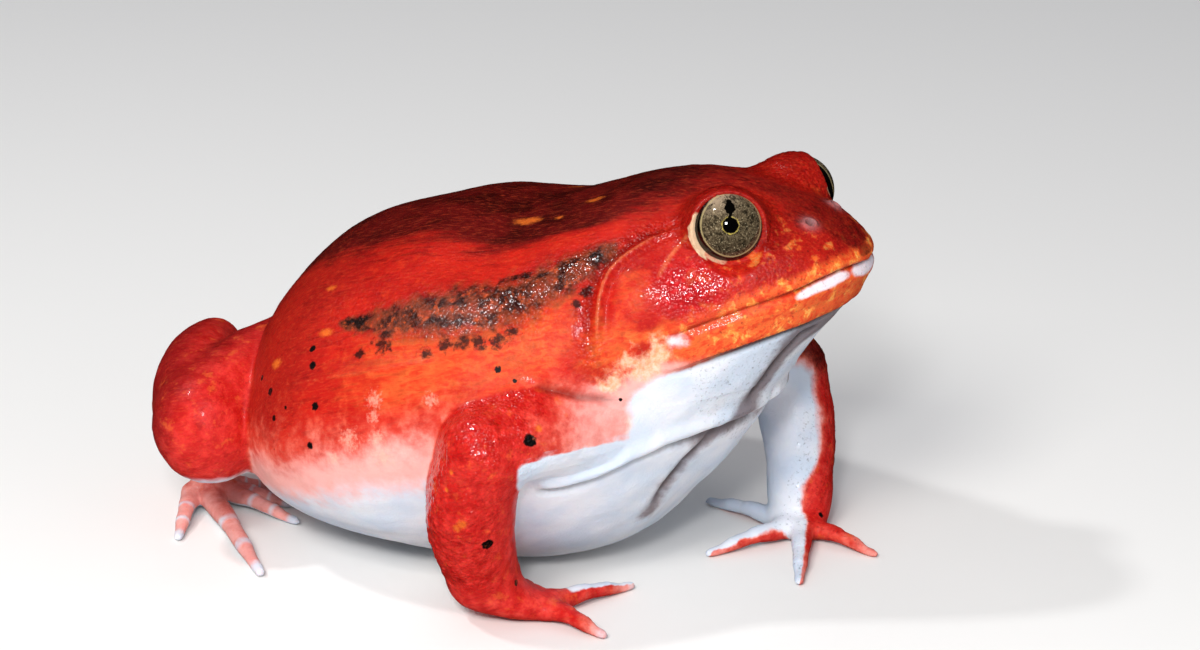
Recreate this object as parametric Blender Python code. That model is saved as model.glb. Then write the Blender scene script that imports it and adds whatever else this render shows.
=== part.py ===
"""Life-size model of an inflated adult tomato frog, sitting on a floor with its head raised.

Frame: +X is the way the frog faces, +Y its left side, +Z up, floor at Z = 0.
Lengths in the tables are design millimetres; SCALE turns them into metres at the real size.
"""

import math

import bmesh
import bpy
import numpy as np
from mathutils import Matrix, Vector

# ---------------------------------------------------------------- driving sizes
SNOUT_VENT = 95.0  # real snout to vent length of a large female, mm
DESIGN_SNOUT_VENT = 95.8  # the same length in the tables below
SCALE = SNOUT_VENT / DESIGN_SNOUT_VENT * 0.001  # design mm to metres
ORIGIN = (6.6657, -1.9048)  # place on the floor, in design mm, that becomes the model's origin
GAP = 0.32  # thin cut between neighbouring nodes
EYE_RADIUS = 4.5  # eyeball
EYE_CENTRE = (42.3, 9.9, 51.8)  # left eyeball; the right one mirrors it
EYE_AXIS = (0.40, 0.86, 0.30)  # the way the left eye looks
EYE_OPENING = 4.15  # radius of the opening between the lids
LID_CENTRE = (41.9, 9.0, 51.5)  # raised brow and lids round the left eye
LID_RADII = (6.6, 5.7, 5.2)

# Trunk and head, one row per station from the vent to the snout:
# x, top z, bottom z, half width, z of the widest line, exponent above it, exponent below it
BODY = [
    (-33.5, 17.4, 16.6, 0.3, 17.0, 2.0, 2.0),
    (-32.7, 20.6, 13.0, 6.2, 16.8, 1.9, 2.0),
    (-29.0, 26.4, 6.5, 15.4, 17.0, 1.75, 2.0),
    (-22.0, 35.4, 2.2, 24.8, 18.5, 1.75, 1.95),
    (-12.0, 43.0, 0.2, 32.0, 20.5, 1.8, 1.9),
    (0.0, 46.9, -0.5, 34.5, 22.5, 1.95, 1.88),
    (12.0, 49.4, -0.4, 33.0, 25.0, 2.1, 1.88),
    (21.0, 52.1, 1.6, 29.0, 28.0, 2.1, 1.95),
    (28.5, 54.6, 6.0, 24.8, 31.5, 2.1, 2.0),
    (35.0, 55.4, 13.2, 21.0, 36.0, 2.1, 1.9),
    (40.5, 55.3, 20.5, 18.0, 39.5, 2.1, 1.8),
    (46.0, 54.2, 29.6, 14.8, 42.0, 2.1, 1.8),
    (50.5, 52.7, 36.0, 11.5, 44.0, 2.1, 1.8),
    (54.0, 50.8, 40.3, 7.9, 45.7, 2.1, 1.9),
    (56.4, 48.9, 43.6, 4.2, 46.6, 2.0, 2.0),
    (57.4, 47.1, 46.6, 0.3, 46.9, 2.0, 2.0),
]

# Limb segments, each a tapered tube through these rows: x, y, z, radius across, radius along the second axis
RIGHT_ARM = {
    "upper_arm": [(29, -15, 26.4, 6.2, 6.4), (23.6, -25, 27.2, 6.1, 6.6), (17.9, -32.8, 26.8, 5.9, 6.2)],
    "forearm": [(17.9, -32.8, 26.8, 5.8, 6.0), (16.2, -32.2, 17, 5.8, 5.8), (15.6, -28, 6.4, 4.7, 4.7)],
    "hand": [(15.6, -28, 5.6, 4.5, 4.0), (18.8, -26.5, 3.0, 4.0, 2.8), (22.8, -24.6, 1.6, 3.0, 1.6)],
}
RIGHT_FINGERS = [
    # root x, y, tip x, y, root radius, tip radius
    (23.0, -25.0, 32.9, -27.5, 1.8, 0.9),
    (23.5, -23.2, 29.2, -11.6, 1.7, 0.9),
    (20.5, -23.0, 13.5, -16.5, 1.6, 0.9),
    (18.5, -24.0, 9.5, -19.5, 1.6, 0.9),
]
LEFT_ARM = {
    "upper_arm": [(29, 15, 28, 6.5, 7.5), (31, 22.5, 24, 5.9, 6.6), (34.8, 26.6, 19.5, 5.3, 5.6)],
    "forearm": [(34.8, 26.6, 19.5, 5.1, 5.4), (38.0, 23.6, 12.6, 5.2, 5.2), (40.4, 19, 5.6, 4.2, 4.2)],
    "hand": [(40.4, 19, 5.2, 4.0, 3.8), (41.6, 16.4, 2.8, 4.0, 2.8), (42.3, 13.8, 1.6, 3.2, 1.6)],
}
LEFT_FINGERS = [
    (44.0, 14.8, 54.3, 12.6, 1.6, 0.8),
    (43.5, 12.8, 48.8, -0.6, 1.7, 0.9),
    (41.0, 12.8, 34.0, 2.8, 1.7, 0.9),
    (38.6, 15.5, 26.4, 19.8, 1.6, 0.9),
]
RIGHT_LEG = {
    "thigh": [(-19, -6, 21.5, 8.5, 9.5), (-25, -15, 20.0, 8.4, 9.4), (-27.8, -24.6, 18.3, 7.2, 8.2)],
    "shank": [(-28.5, -25.5, 18.5, 6.2, 7.2), (-34.2, -16, 20, 6.2, 7.6), (-38.2, -6, 19.5, 4.8, 6.4)],
    "foot": [(-39.2, -5, 17, 3.8, 4.2), (-40.2, -5.5, 8, 3.4, 3.4), (-37.0, -9.5, 2.6, 3.4, 2.4)],
}
LEFT_LEG = {
    "thigh": [(-17, 8, 20.5, 8.3, 9.2), (-20, 19, 18.8, 8.1, 9.0), (-20.5, 27.6, 16.6, 7.0, 7.8)],
    "shank": [(-21.8, 28.2, 16.6, 6.2, 7.1), (-28.8, 20, 17.6, 6.2, 7.3), (-34.2, 10.5, 16.6, 4.8, 6.1)],
    "foot": [(-35.2, 9.5, 14.4, 3.8, 4.2), (-36.6, 10.0, 7.4, 3.4, 3.4), (-33.5, 14.0, 2.6, 3.4, 2.4)],
}
RIGHT_TOES = [
    (-36.6, -11.2, -17.3, -29.6, 1.9, 1.0),
    (-38.8, -12.0, -33.7, -24.0, 1.6, 0.9),
    (-35.0, -9.5, -22.0, -12.0, 1.6, 0.9),
    (-35.5, -8.2, -26.0, -7.0, 1.5, 0.9),
    (-36.5, -7.0, -31.0, -3.0, 1.4, 0.8),
]
LEFT_TOES = [(x0 + 3.5, 4.5 - y0, x1 + 3.5, 4.5 - y1, r0, r1) for x0, y0, x1, y1, r0, r1 in RIGHT_TOES]

# Side outlines, x and z, of the blocks that part the head, the lower jaw and the trunk
NECK = ((28.5, 75.0), (38.5, 10.0))  # cut between head and trunk, from nape to throat
MOUTH_CORNER = (37.6, 39.0)
MOUTH_FRONT = (60.0, 47.9)
JAW_REAR = (44.5, 10.0)  # the cut behind the jaw runs from the corner of the mouth to here


def smooth_rows(rows, count, even=True):
    """A natural cubic spline through the rows, read at count places, evenly spaced along its length."""
    p = np.array(rows, float)
    if len(p) == 2:
        t = np.linspace(0, 1, count)[:, None]
        return p[0] * (1 - t) + p[1] * t
    step = np.linalg.norm(np.diff(p[:, :4], axis=0), axis=1)
    t = np.concatenate([[0], np.cumsum(np.maximum(step, 1e-6))])
    n = len(t)
    h = np.diff(t)
    a = np.zeros((n, n))
    b = np.zeros((n, p.shape[1]))
    a[0, 0] = a[-1, -1] = 1
    for i in range(1, n - 1):
        a[i, i - 1], a[i, i], a[i, i + 1] = h[i - 1], 2 * (h[i - 1] + h[i]), h[i]
        b[i] = 6 * ((p[i + 1] - p[i]) / h[i] - (p[i] - p[i - 1]) / h[i - 1])
    m = np.linalg.solve(a, b)

    def read(at):
        i = np.clip(np.searchsorted(t, at, side="right") - 1, 0, n - 2)
        u = (at - t[i])[:, None]
        v = (t[i + 1] - at)[:, None]
        w = h[i][:, None]
        return (
            m[i] * v**3 / (6 * w)
            + m[i + 1] * u**3 / (6 * w)
            + (p[i] / w - m[i] * w / 6) * v
            + (p[i + 1] / w - m[i + 1] * w / 6) * u
        )

    return read(np.linspace(0, t[-1], count))


def skin_rings(rings, name):
    """A closed mesh over a list of rings of equal length, with a fan at each end."""
    bm = bmesh.new()
    loops = [[bm.verts.new(p) for p in ring] for ring in rings]
    for a, b in zip(loops, loops[1:]):
        for i in range(len(a)):
            j = (i + 1) % len(a)
            bm.faces.new((a[i], a[j], b[j], b[i]))
    for loop, flip in ((loops[0], True), (loops[-1], False)):
        centre = bm.verts.new(sum((v.co for v in loop), Vector()) / len(loop))
        for i in range(len(loop)):
            j = (i + 1) % len(loop)
            bm.faces.new((loop[j], loop[i], centre) if flip else (loop[i], loop[j], centre))
    bmesh.ops.recalc_face_normals(bm, faces=bm.faces)
    mesh = bpy.data.meshes.new(name)
    bm.to_mesh(mesh)
    bm.free()
    return mesh


def body_section(row, points):
    x, top, bottom, half, mid, above, below = row
    out = []
    for i in range(points):
        a = 2 * math.pi * i / points
        c, s = math.cos(a), math.sin(a)
        n = above if s >= 0 else below
        y = half * math.copysign(abs(c) ** (2 / n), c)
        z = mid + (top - mid if s >= 0 else mid - bottom) * math.copysign(abs(s) ** (2 / n), s)
        out.append(Vector((x, y, z)))
    return out


def body_rows(rings, grow=0.0):
    rows = smooth_rows(BODY, rings)
    ends = (rows[:, 0] - rows[:, 0].mean()) / (np.ptp(rows[:, 0]) / 2)
    rows[:, 0] += grow * ends * 1.5
    rows[:, 1] += grow
    rows[:, 2] -= grow
    rows[:, 3] += grow
    return rows


def body_mesh(name, rings=26, points=28, grow=0.0):
    return skin_rings([body_section(tuple(r), points) for r in body_rows(rings, grow)], name)


def tube_rings(rows, rings, points, grow=0.0, caps=4):
    """Rings of a tapered tube through rows of x, y, z, radius, radius, with a round end at each side."""
    p = smooth_rows(rows, rings)
    centre, radii = p[:, :3], p[:, 3:5] + grow
    tangent = np.gradient(centre, axis=0)
    tangent /= np.linalg.norm(tangent, axis=1)[:, None]
    side = np.cross(tangent[0], (0, 0, 1.0))
    if np.linalg.norm(side) < 0.3:
        side = np.cross(tangent[0], (1.0, 0, 0))
    out = []

    def ring(c, s, u, ra, rb):
        return [
            Vector(c + s * ra * math.cos(2 * math.pi * k / points) + u * rb * math.sin(2 * math.pi * k / points))
            for k in range(points)
        ]

    for i in range(rings):
        t = tangent[i]
        side = side - t * (side @ t)
        side /= np.linalg.norm(side)
        up = np.cross(side, t)
        if i == 0:
            r = min(radii[0])
            for k in range(caps):
                a = math.pi / 2 * (k + 0.35) / caps
                out.append(ring(centre[0] - t * r * math.cos(a), side, up, radii[0][0] * math.sin(a), radii[0][1] * math.sin(a)))
        out.append(ring(centre[i], side, up, *radii[i]))
        if i == rings - 1:
            r = min(radii[-1])
            for k in reversed(range(caps)):
                a = math.pi / 2 * (k + 0.35) / caps
                out.append(ring(centre[-1] + t * r * math.cos(a), side, up, radii[-1][0] * math.sin(a), radii[-1][1] * math.sin(a)))
    return out


def tube_mesh(name, rows, rings=7, points=12, grow=0.0, caps=2):
    return skin_rings(tube_rings(rows, rings, points, grow, caps), name)


def digit_rows(root, tip, r0, r1, rise=1.0):
    """A finger or toe along the floor: it arches a little and ends in a blunt pad."""
    (x0, y0), (x1, y1) = root, tip
    rows = []
    for t, z, r in (
        (0, 2.0, r0),
        (0.35, 1.0 + rise * 0.8, r0 * 0.92),
        (0.7, 0.9 + 0.3 * rise, (r0 + r1) * 0.5),
        (0.93, r1 * 0.7, r1),
        (1.0, r1 * 0.65, r1 * 0.9),
    ):
        rows.append((x0 + (x1 - x0) * t, y0 + (y1 - y0) * t, z, r, r * 0.88))
    return rows


def digits(table):
    return [digit_rows(r[0:2], r[2:4], r[4], r[5]) for r in table]


def all_tubes():
    """name: rows of every limb piece, with digits as further rows after their hand or foot."""
    tubes = {}
    for side, arm, fingers in (("right", RIGHT_ARM, RIGHT_FINGERS), ("left", LEFT_ARM, LEFT_FINGERS)):
        for key, rows in arm.items():
            tubes[f"{key}_{side}"] = [rows]
        tubes[f"hand_{side}"] += digits(fingers)
    for side, leg, toes in (("right", RIGHT_LEG, RIGHT_TOES), ("left", LEFT_LEG, LEFT_TOES)):
        for key, rows in leg.items():
            tubes[f"{key}_{side}"] = [rows]
        tubes[f"foot_{side}"] += digits(toes)
    return tubes


# ---------------------------------------------------------------- objects and cuts
def add_object(name, mesh):
    obj = bpy.data.objects.new(name, mesh)
    bpy.context.scene.collection.objects.link(obj)
    return obj


def ellipsoid(name, centre, radii, segments=20, rings=12):
    bm = bmesh.new()
    bmesh.ops.create_uvsphere(bm, u_segments=segments, v_segments=rings, radius=1.0)
    bmesh.ops.transform(bm, matrix=Matrix.Translation(centre) @ Matrix.Diagonal((*radii, 1.0)), verts=bm.verts)
    mesh = bpy.data.meshes.new(name)
    bm.to_mesh(mesh)
    bm.free()
    return add_object(name, mesh)


def eye_ball(name, side, radius, segments=22, rings=12):
    """A sphere with its poles along the eye's own axis."""
    axis = Vector((EYE_AXIS[0], side * EYE_AXIS[1], EYE_AXIS[2])).normalized()
    turn = axis.to_track_quat("Z", "Y").to_matrix().to_4x4()
    centre = Vector((EYE_CENTRE[0], side * EYE_CENTRE[1], EYE_CENTRE[2]))
    bm = bmesh.new()
    bmesh.ops.create_uvsphere(bm, u_segments=segments, v_segments=rings, radius=radius)
    bmesh.ops.transform(bm, matrix=Matrix.Translation(centre) @ turn, verts=bm.verts)
    mesh = bpy.data.meshes.new(name)
    bm.to_mesh(mesh)
    bm.free()
    return add_object(name, mesh)


def eye_opening(name, side):
    """A flaring plug along the eye's axis that opens the lids."""
    axis = Vector((EYE_AXIS[0], side * EYE_AXIS[1], EYE_AXIS[2])).normalized()
    turn = axis.to_track_quat("Z", "Y").to_matrix().to_4x4()
    centre = Vector((EYE_CENTRE[0], side * EYE_CENTRE[1], EYE_CENTRE[2]))
    start = math.sqrt(EYE_RADIUS**2 - EYE_OPENING**2) - 0.2
    bm = bmesh.new()
    bmesh.ops.create_cone(
        bm, cap_ends=True, segments=24, radius1=EYE_OPENING, radius2=EYE_OPENING + 3.0, depth=6.0,
        matrix=Matrix.Translation((0, 0, start + 3.0)),
    )
    bmesh.ops.transform(bm, matrix=Matrix.Translation(centre) @ turn, verts=bm.verts)
    mesh = bpy.data.meshes.new(name)
    bm.to_mesh(mesh)
    bm.free()
    return add_object(name, mesh)


def prism(name, outline, half=60.0):
    """A block with this x, z outline, running across the body from side to side."""
    bm = bmesh.new()
    near = [bm.verts.new((x, -half, z)) for x, z in outline]
    far = [bm.verts.new((x, half, z)) for x, z in outline]
    bm.faces.new(near)
    bm.faces.new(list(reversed(far)))
    for i in range(len(outline)):
        j = (i + 1) % len(outline)
        bm.faces.new((near[j], near[i], far[i], far[j]))
    bmesh.ops.recalc_face_normals(bm, faces=bm.faces)
    mesh = bpy.data.meshes.new(name)
    bm.to_mesh(mesh)
    bm.free()
    return add_object(name, mesh)


def combine(obj, other, operation, keep=False):
    """A Boolean of the two, applied to the first; the second is removed unless kept."""
    mod = obj.modifiers.new("cut", "BOOLEAN")
    mod.operation = operation
    mod.solver = "EXACT"
    mod.object = other
    bpy.context.view_layer.update()
    graph = bpy.context.evaluated_depsgraph_get()
    mesh = bpy.data.meshes.new_from_object(obj.evaluated_get(graph))
    obj.modifiers.clear()
    old = obj.data
    obj.data = mesh
    bpy.data.meshes.remove(old)
    if not keep:
        remove(other)
    return obj


def remove(obj):
    mesh = obj.data
    bpy.data.objects.remove(obj, do_unlink=True)
    bpy.data.meshes.remove(mesh)


def copy_of(obj, name):
    new = add_object(name, obj.data.copy())
    return new


def tidy(obj):
    """Merge the slivers a cut leaves, drop specks and keep the faces pointing out."""
    bm = bmesh.new()
    bm.from_mesh(obj.data)
    bmesh.ops.remove_doubles(bm, verts=bm.verts, dist=0.004)
    bmesh.ops.triangulate(bm, faces=bm.faces)
    whole = bm.copy()
    bmesh.ops.remove_doubles(bm, verts=bm.verts, dist=0.03)
    bmesh.ops.dissolve_degenerate(bm, edges=bm.edges, dist=0.004)
    if any(not e.is_manifold for e in bm.edges):
        bm.free()
        bm = whole
    else:
        whole.free()
    islands = []
    left = set(bm.verts)
    while left:
        seed = left.pop()
        island, todo = {seed}, [seed]
        while todo:
            for e in todo.pop().link_edges:
                for v in e.verts:
                    if v in left:
                        left.discard(v)
                        island.add(v)
                        todo.append(v)
        islands.append(island)
    islands.sort(key=len, reverse=True)
    for island in islands[1:]:
        bmesh.ops.delete(bm, geom=list(island), context="VERTS")
    bmesh.ops.recalc_face_normals(bm, faces=bm.faces)
    bm.to_mesh(obj.data)
    bm.free()


def line_shift(a, b, by):
    """The line from a to b moved sideways by this much, to its left."""
    d = Vector((b[0] - a[0], b[1] - a[1])).normalized()
    n = (-d.y * by, d.x * by)
    return (a[0] + n[0], a[1] + n[1]), (b[0] + n[0], b[1] + n[1])


def material(name, colour, roughness):
    mat = bpy.data.materials.new(name)
    mat.use_nodes = True
    shader = mat.node_tree.nodes["Principled BSDF"]
    shader.inputs["Base Color"].default_value = (*colour, 1.0)
    shader.inputs["Roughness"].default_value = roughness
    shader.inputs["Metallic"].default_value = 0.0
    return mat


def build():
    for obj in list(bpy.data.objects):
        bpy.data.objects.remove(obj, do_unlink=True)

    skin_red = material("moist red skin", (0.55, 0.055, 0.02), 0.32)
    skin_orange = material("moist orange-red skin", (0.70, 0.13, 0.04), 0.32)
    throat_white = material("pale throat skin", (0.78, 0.72, 0.74), 0.4)
    eye_bronze = material("bronze eye", (0.16, 0.13, 0.07), 0.08)

    above_floor = prism("above_floor", [(-80, 0), (100, 0), (100, 100), (-80, 100)])
    body = add_object("body", body_mesh("body"))
    body_near = add_object("body_near", body_mesh("body_near", grow=GAP))

    # brows and lids swell from the head, and the eyeballs sit in sockets cut into them
    for side in (1, -1):
        centre = (LID_CENTRE[0], side * LID_CENTRE[1], LID_CENTRE[2])
        combine(body, ellipsoid("lid", centre, LID_RADII), "UNION")
    for side in (1, -1):
        combine(body, eye_ball("socket", side, EYE_RADIUS + GAP), "DIFFERENCE")
        combine(body, eye_opening("opening", side), "DIFFERENCE")
    combine(body, above_floor, "INTERSECT", keep=True)

    # trunk, head and lower jaw, with a thin cut between each two
    h = GAP / 2
    neck_front = line_shift(*NECK, h)
    neck_back = line_shift(*NECK, -h)
    far_x = 100.0
    trunk = copy_of(body, "trunk")
    combine(trunk, prism("block", [neck_back[0], (-80, 75), (-80, -20), (neck_back[1][0] + 4.6, -20)]), "INTERSECT")
    corner, front, rear = MOUTH_CORNER, MOUTH_FRONT, JAW_REAR
    upper_line = line_shift(corner, front, h)
    lower_line = line_shift(corner, front, -h)
    back_line = line_shift(corner, rear, -h)
    front_line = line_shift(corner, rear, h)
    head = body
    head.name = "head"
    combine(
        head,
        prism("block", [
            neck_front[0], (neck_front[1][0], neck_front[1][1]), (back_line[1][0], back_line[1][1]), back_line[0],
            (upper_line[0][0] - 0.1, upper_line[0][1]), upper_line[1], (far_x, 75),
        ]),
        "INTERSECT",
    )
    jaw = add_object("lower_jaw", body_mesh("lower_jaw"))
    combine(
        jaw,
        prism("block", [
            (front_line[0][0] + 0.3, lower_line[0][1] - 0.05), (front_line[1][0] + 0.1, front_line[1][1]), (far_x, 10), (far_x, lower_line[1][1]), lower_line[1],
        ]),
        "INTERSECT",
    )

    nodes = {"trunk": trunk, "head": head, "lower_jaw": jaw}
    for name, side in (("eye_left", 1), ("eye_right", -1)):
        nodes[name] = eye_ball(name, side, EYE_RADIUS)

    # limbs: each piece ends where the one before it begins, and the first ends at the body's side
    def made(name, rows, grow=0.0):
        first = add_object(name, tube_mesh(name, rows[0], grow=grow))
        for more in rows[1:]:
            combine(first, add_object("digit", tube_mesh("digit", more, rings=5, points=8, grow=grow, caps=1)), "UNION")
        return first

    tubes = all_tubes()
    for side in ("right", "left"):
        for chain in (("upper_arm", "forearm", "hand"), ("thigh", "shank", "foot")):
            for i, key in enumerate(chain):
                name = f"{key}_{side}"
                piece = made(name, tubes[name])
                combine(piece, body_near, "DIFFERENCE", keep=True)
                for before in chain[max(0, i - 2) : i]:
                    blocker = f"{before}_{side}"
                    combine(piece, made("blocker", tubes[blocker], grow=GAP), "DIFFERENCE")
                combine(piece, above_floor, "INTERSECT", keep=True)
                nodes[name] = piece
    remove(body_near)
    remove(above_floor)

    place = Matrix.Scale(SCALE, 4) @ Matrix.Translation((-ORIGIN[0], -ORIGIN[1], 0))
    for name, obj in nodes.items():
        tidy(obj)
        obj.data.transform(place)
        obj.data.name = name
        if name.startswith("eye"):
            obj.data.materials.append(eye_bronze)
        elif name == "lower_jaw":
            obj.data.materials.append(throat_white)
        elif name in ("trunk", "head"):
            obj.data.materials.append(skin_orange)
        else:
            obj.data.materials.append(skin_red)
        obj.data.shade_smooth()
        obj.data.set_sharp_from_angle(angle=math.radians(50))


build()
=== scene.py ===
"""Looks of a life-size tomato frog: one skin over the whole body, two eyes, light and camera.

Shapes are worked out in design millimetres (+X the way the frog faces, +Y its left side, floor at Z = 0)
and set down in metres by SCALE and ORIGIN.
"""

import math

import bmesh
import bpy
import numpy as np
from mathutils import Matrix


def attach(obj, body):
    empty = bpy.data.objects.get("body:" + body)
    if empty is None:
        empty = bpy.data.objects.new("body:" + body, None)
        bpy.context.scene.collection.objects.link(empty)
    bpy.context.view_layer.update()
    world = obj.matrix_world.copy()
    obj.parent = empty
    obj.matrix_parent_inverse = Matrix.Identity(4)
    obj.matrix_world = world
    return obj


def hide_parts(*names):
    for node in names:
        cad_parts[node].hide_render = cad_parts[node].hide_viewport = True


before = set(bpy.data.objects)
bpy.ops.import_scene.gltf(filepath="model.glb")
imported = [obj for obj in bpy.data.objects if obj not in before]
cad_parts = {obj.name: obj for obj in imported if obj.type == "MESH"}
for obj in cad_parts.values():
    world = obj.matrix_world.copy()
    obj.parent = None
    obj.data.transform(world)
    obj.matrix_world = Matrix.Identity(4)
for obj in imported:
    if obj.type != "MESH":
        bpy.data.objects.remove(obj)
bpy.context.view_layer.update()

import openvdb as vdb
from mathutils import Matrix, Vector

# ---------------------------------------------------------------- sizes shared with the solids
SCALE = 95.0 / 95.8 * 0.001
ORIGIN = np.array((6.6657, -1.9048, 0.0))
EYE_RADIUS = 4.65
EYE_CENTRES = {-1: np.array((41.95, -10.1, 52.25)), 1: np.array((43.1, 10.4, 51.45))}
EYE_AXES = {-1: np.array((0.46, -0.83, 0.28)), 1: np.array((0.63, 0.75, 0.17))}
EYE_OPENING = 4.38
LID_RADIUS = 5.15

# x, top z, bottom z, half width, z of the widest line, exponent above it, exponent below it
BODY = [
    (-33.5, 17.4, 16.6, 0.3, 17.0, 2.0, 2.0),
    (-32.7, 20.6, 13.0, 6.2, 16.8, 1.9, 2.0),
    (-29.0, 26.4, 6.5, 15.4, 17.0, 1.75, 2.0),
    (-22.0, 35.4, 2.2, 24.8, 18.5, 1.75, 1.95),
    (-12.0, 43.0, 0.2, 32.0, 20.5, 1.8, 1.9),
    (0.0, 46.9, -0.5, 34.5, 22.5, 1.95, 1.88),
    (12.0, 49.4, -0.4, 33.0, 25.0, 2.1, 1.88),
    (21.0, 52.1, 1.6, 29.0, 28.0, 2.1, 1.95),
    (28.5, 54.6, 6.0, 24.8, 31.5, 2.1, 2.0),
    (35.0, 55.4, 13.2, 21.0, 36.0, 2.1, 1.9),
    (40.5, 55.3, 20.5, 18.0, 39.5, 2.1, 1.8),
    (46.0, 54.2, 29.6, 14.8, 42.0, 2.1, 1.8),
    (50.5, 52.7, 36.0, 11.5, 44.0, 2.1, 1.8),
    (54.0, 50.8, 40.3, 7.9, 45.7, 2.1, 1.9),
    (56.4, 48.9, 43.6, 4.2, 46.6, 2.0, 2.0),
    (57.4, 47.1, 46.6, 0.3, 46.9, 2.0, 2.0),
]
RIGHT_ARM = {
    "upper_arm": [(29, -15, 26.4, 6.2, 6.4), (23.6, -25, 26.9, 6.1, 6.2), (18.4, -32.4, 25.6, 5.6, 5.2)],
    "forearm": [(18.4, -32.4, 25.4, 5.6, 5.2), (16.2, -32.2, 17, 5.8, 5.8), (15.6, -28, 6.4, 4.7, 4.7)],
    "hand": [(15.6, -28, 5.6, 4.5, 4.0), (18.8, -26.5, 3.0, 4.0, 2.8), (22.8, -24.6, 1.6, 3.0, 1.6)],
}
RIGHT_FINGERS = [
    (23.0, -25.0, 32.9, -27.5, 1.8, 0.9),
    (23.5, -23.2, 29.2, -11.6, 1.7, 0.9),
    (20.5, -23.0, 13.5, -16.5, 1.6, 0.9),
    (18.5, -24.0, 9.5, -19.5, 1.6, 0.9),
]
LEFT_ARM = {
    "upper_arm": [(29, 15, 28, 6.5, 7.5), (31, 22.5, 24, 5.9, 6.6), (34.8, 26.6, 19.5, 5.3, 5.6)],
    "forearm": [(34.8, 26.6, 19.5, 5.1, 5.4), (38.0, 23.6, 12.6, 5.2, 5.2), (40.4, 19, 5.6, 4.2, 4.2)],
    "hand": [(40.4, 19, 5.2, 4.0, 3.8), (41.6, 16.4, 2.8, 4.0, 2.8), (42.3, 13.8, 1.6, 3.2, 1.6)],
}
LEFT_FINGERS = [
    (44.0, 14.8, 54.3, 12.6, 1.6, 0.8),
    (43.5, 12.8, 48.8, -0.6, 1.7, 0.9),
    (41.0, 12.8, 34.0, 2.8, 1.7, 0.9),
    (38.6, 15.5, 26.4, 19.8, 1.6, 0.9),
]
RIGHT_LEG = {
    "thigh": [(-19, -6, 21.5, 8.5, 9.5), (-25, -15, 20.0, 8.4, 9.4), (-27.8, -24.6, 18.3, 7.2, 8.2)],
    "shank": [(-28.5, -25.5, 18.5, 6.2, 7.2), (-34.2, -16, 20, 6.2, 7.6), (-38.2, -6, 19.5, 4.8, 6.4)],
    "foot": [(-39.2, -5, 17, 3.8, 4.2), (-40.2, -5.5, 8, 3.4, 3.4), (-37.0, -9.5, 2.6, 3.4, 2.4)],
}
LEFT_LEG = {
    "thigh": [(-17, 8, 20.5, 8.3, 9.2), (-20, 19, 18.8, 8.1, 9.0), (-20.5, 27.6, 16.6, 7.0, 7.8)],
    "shank": [(-21.8, 28.2, 16.6, 6.2, 7.1), (-28.8, 20, 17.6, 6.2, 7.3), (-34.2, 10.5, 16.6, 4.8, 6.1)],
    "foot": [(-35.2, 9.5, 14.4, 3.8, 4.2), (-36.6, 10.0, 7.4, 3.4, 3.4), (-33.5, 14.0, 2.6, 3.4, 2.4)],
}
RIGHT_TOES = [
    (-36.6, -11.2, -17.3, -29.6, 1.9, 1.0),
    (-38.8, -12.0, -33.7, -24.0, 1.6, 0.9),
    (-35.0, -9.5, -22.0, -12.0, 1.6, 0.9),
    (-35.5, -8.2, -26.0, -7.0, 1.5, 0.9),
    (-36.5, -7.0, -31.0, -3.0, 1.4, 0.8),
]
LEFT_TOES = [(x0 + 3.5, 4.5 - y0, x1 + 3.5, 4.5 - y1, r0, r1) for x0, y0, x1, y1, r0, r1 in RIGHT_TOES]


# ---------------------------------------------------------------- lofted forms
def smooth_rows(rows, count):
    """A natural cubic spline through the rows, read at count places, evenly spaced along its length."""
    p = np.array(rows, float)
    if len(p) == 2:
        t = np.linspace(0, 1, count)[:, None]
        return p[0] * (1 - t) + p[1] * t
    step = np.linalg.norm(np.diff(p[:, :4], axis=0), axis=1)
    t = np.concatenate([[0], np.cumsum(np.maximum(step, 1e-6))])
    n = len(t)
    h = np.diff(t)
    a = np.zeros((n, n))
    b = np.zeros((n, p.shape[1]))
    a[0, 0] = a[-1, -1] = 1
    for i in range(1, n - 1):
        a[i, i - 1], a[i, i], a[i, i + 1] = h[i - 1], 2 * (h[i - 1] + h[i]), h[i]
        b[i] = 6 * ((p[i + 1] - p[i]) / h[i] - (p[i] - p[i - 1]) / h[i - 1])
    m = np.linalg.solve(a, b)
    at = np.linspace(0, t[-1], count)
    i = np.clip(np.searchsorted(t, at, side="right") - 1, 0, n - 2)
    u, v, w = (at - t[i])[:, None], (t[i + 1] - at)[:, None], h[i][:, None]
    return (
        m[i] * v**3 / (6 * w)
        + m[i + 1] * u**3 / (6 * w)
        + (p[i] / w - m[i] * w / 6) * v
        + (p[i + 1] / w - m[i + 1] * w / 6) * u
    )


def loft(rings):
    """Points, quads and triangles of a closed surface over rings of equal length."""
    rings = np.asarray(rings)
    n, k = rings.shape[:2]
    points = np.concatenate([rings.reshape(-1, 3), rings[0].mean(0)[None], rings[-1].mean(0)[None]])
    i, j = np.meshgrid(np.arange(n - 1), np.arange(k), indexing="ij")
    jn = (j + 1) % k
    quads = np.stack([i * k + j, i * k + jn, (i + 1) * k + jn, (i + 1) * k + j], -1).reshape(-1, 4)
    j = np.arange(k)
    jn = (j + 1) % k
    first = np.stack([jn, j, np.full(k, n * k)], -1)
    last = np.stack([(n - 1) * k + j, (n - 1) * k + jn, np.full(k, n * k + 1)], -1)
    return points.astype(np.float32), quads.astype(np.uint32), np.concatenate([first, last]).astype(np.uint32)


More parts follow.
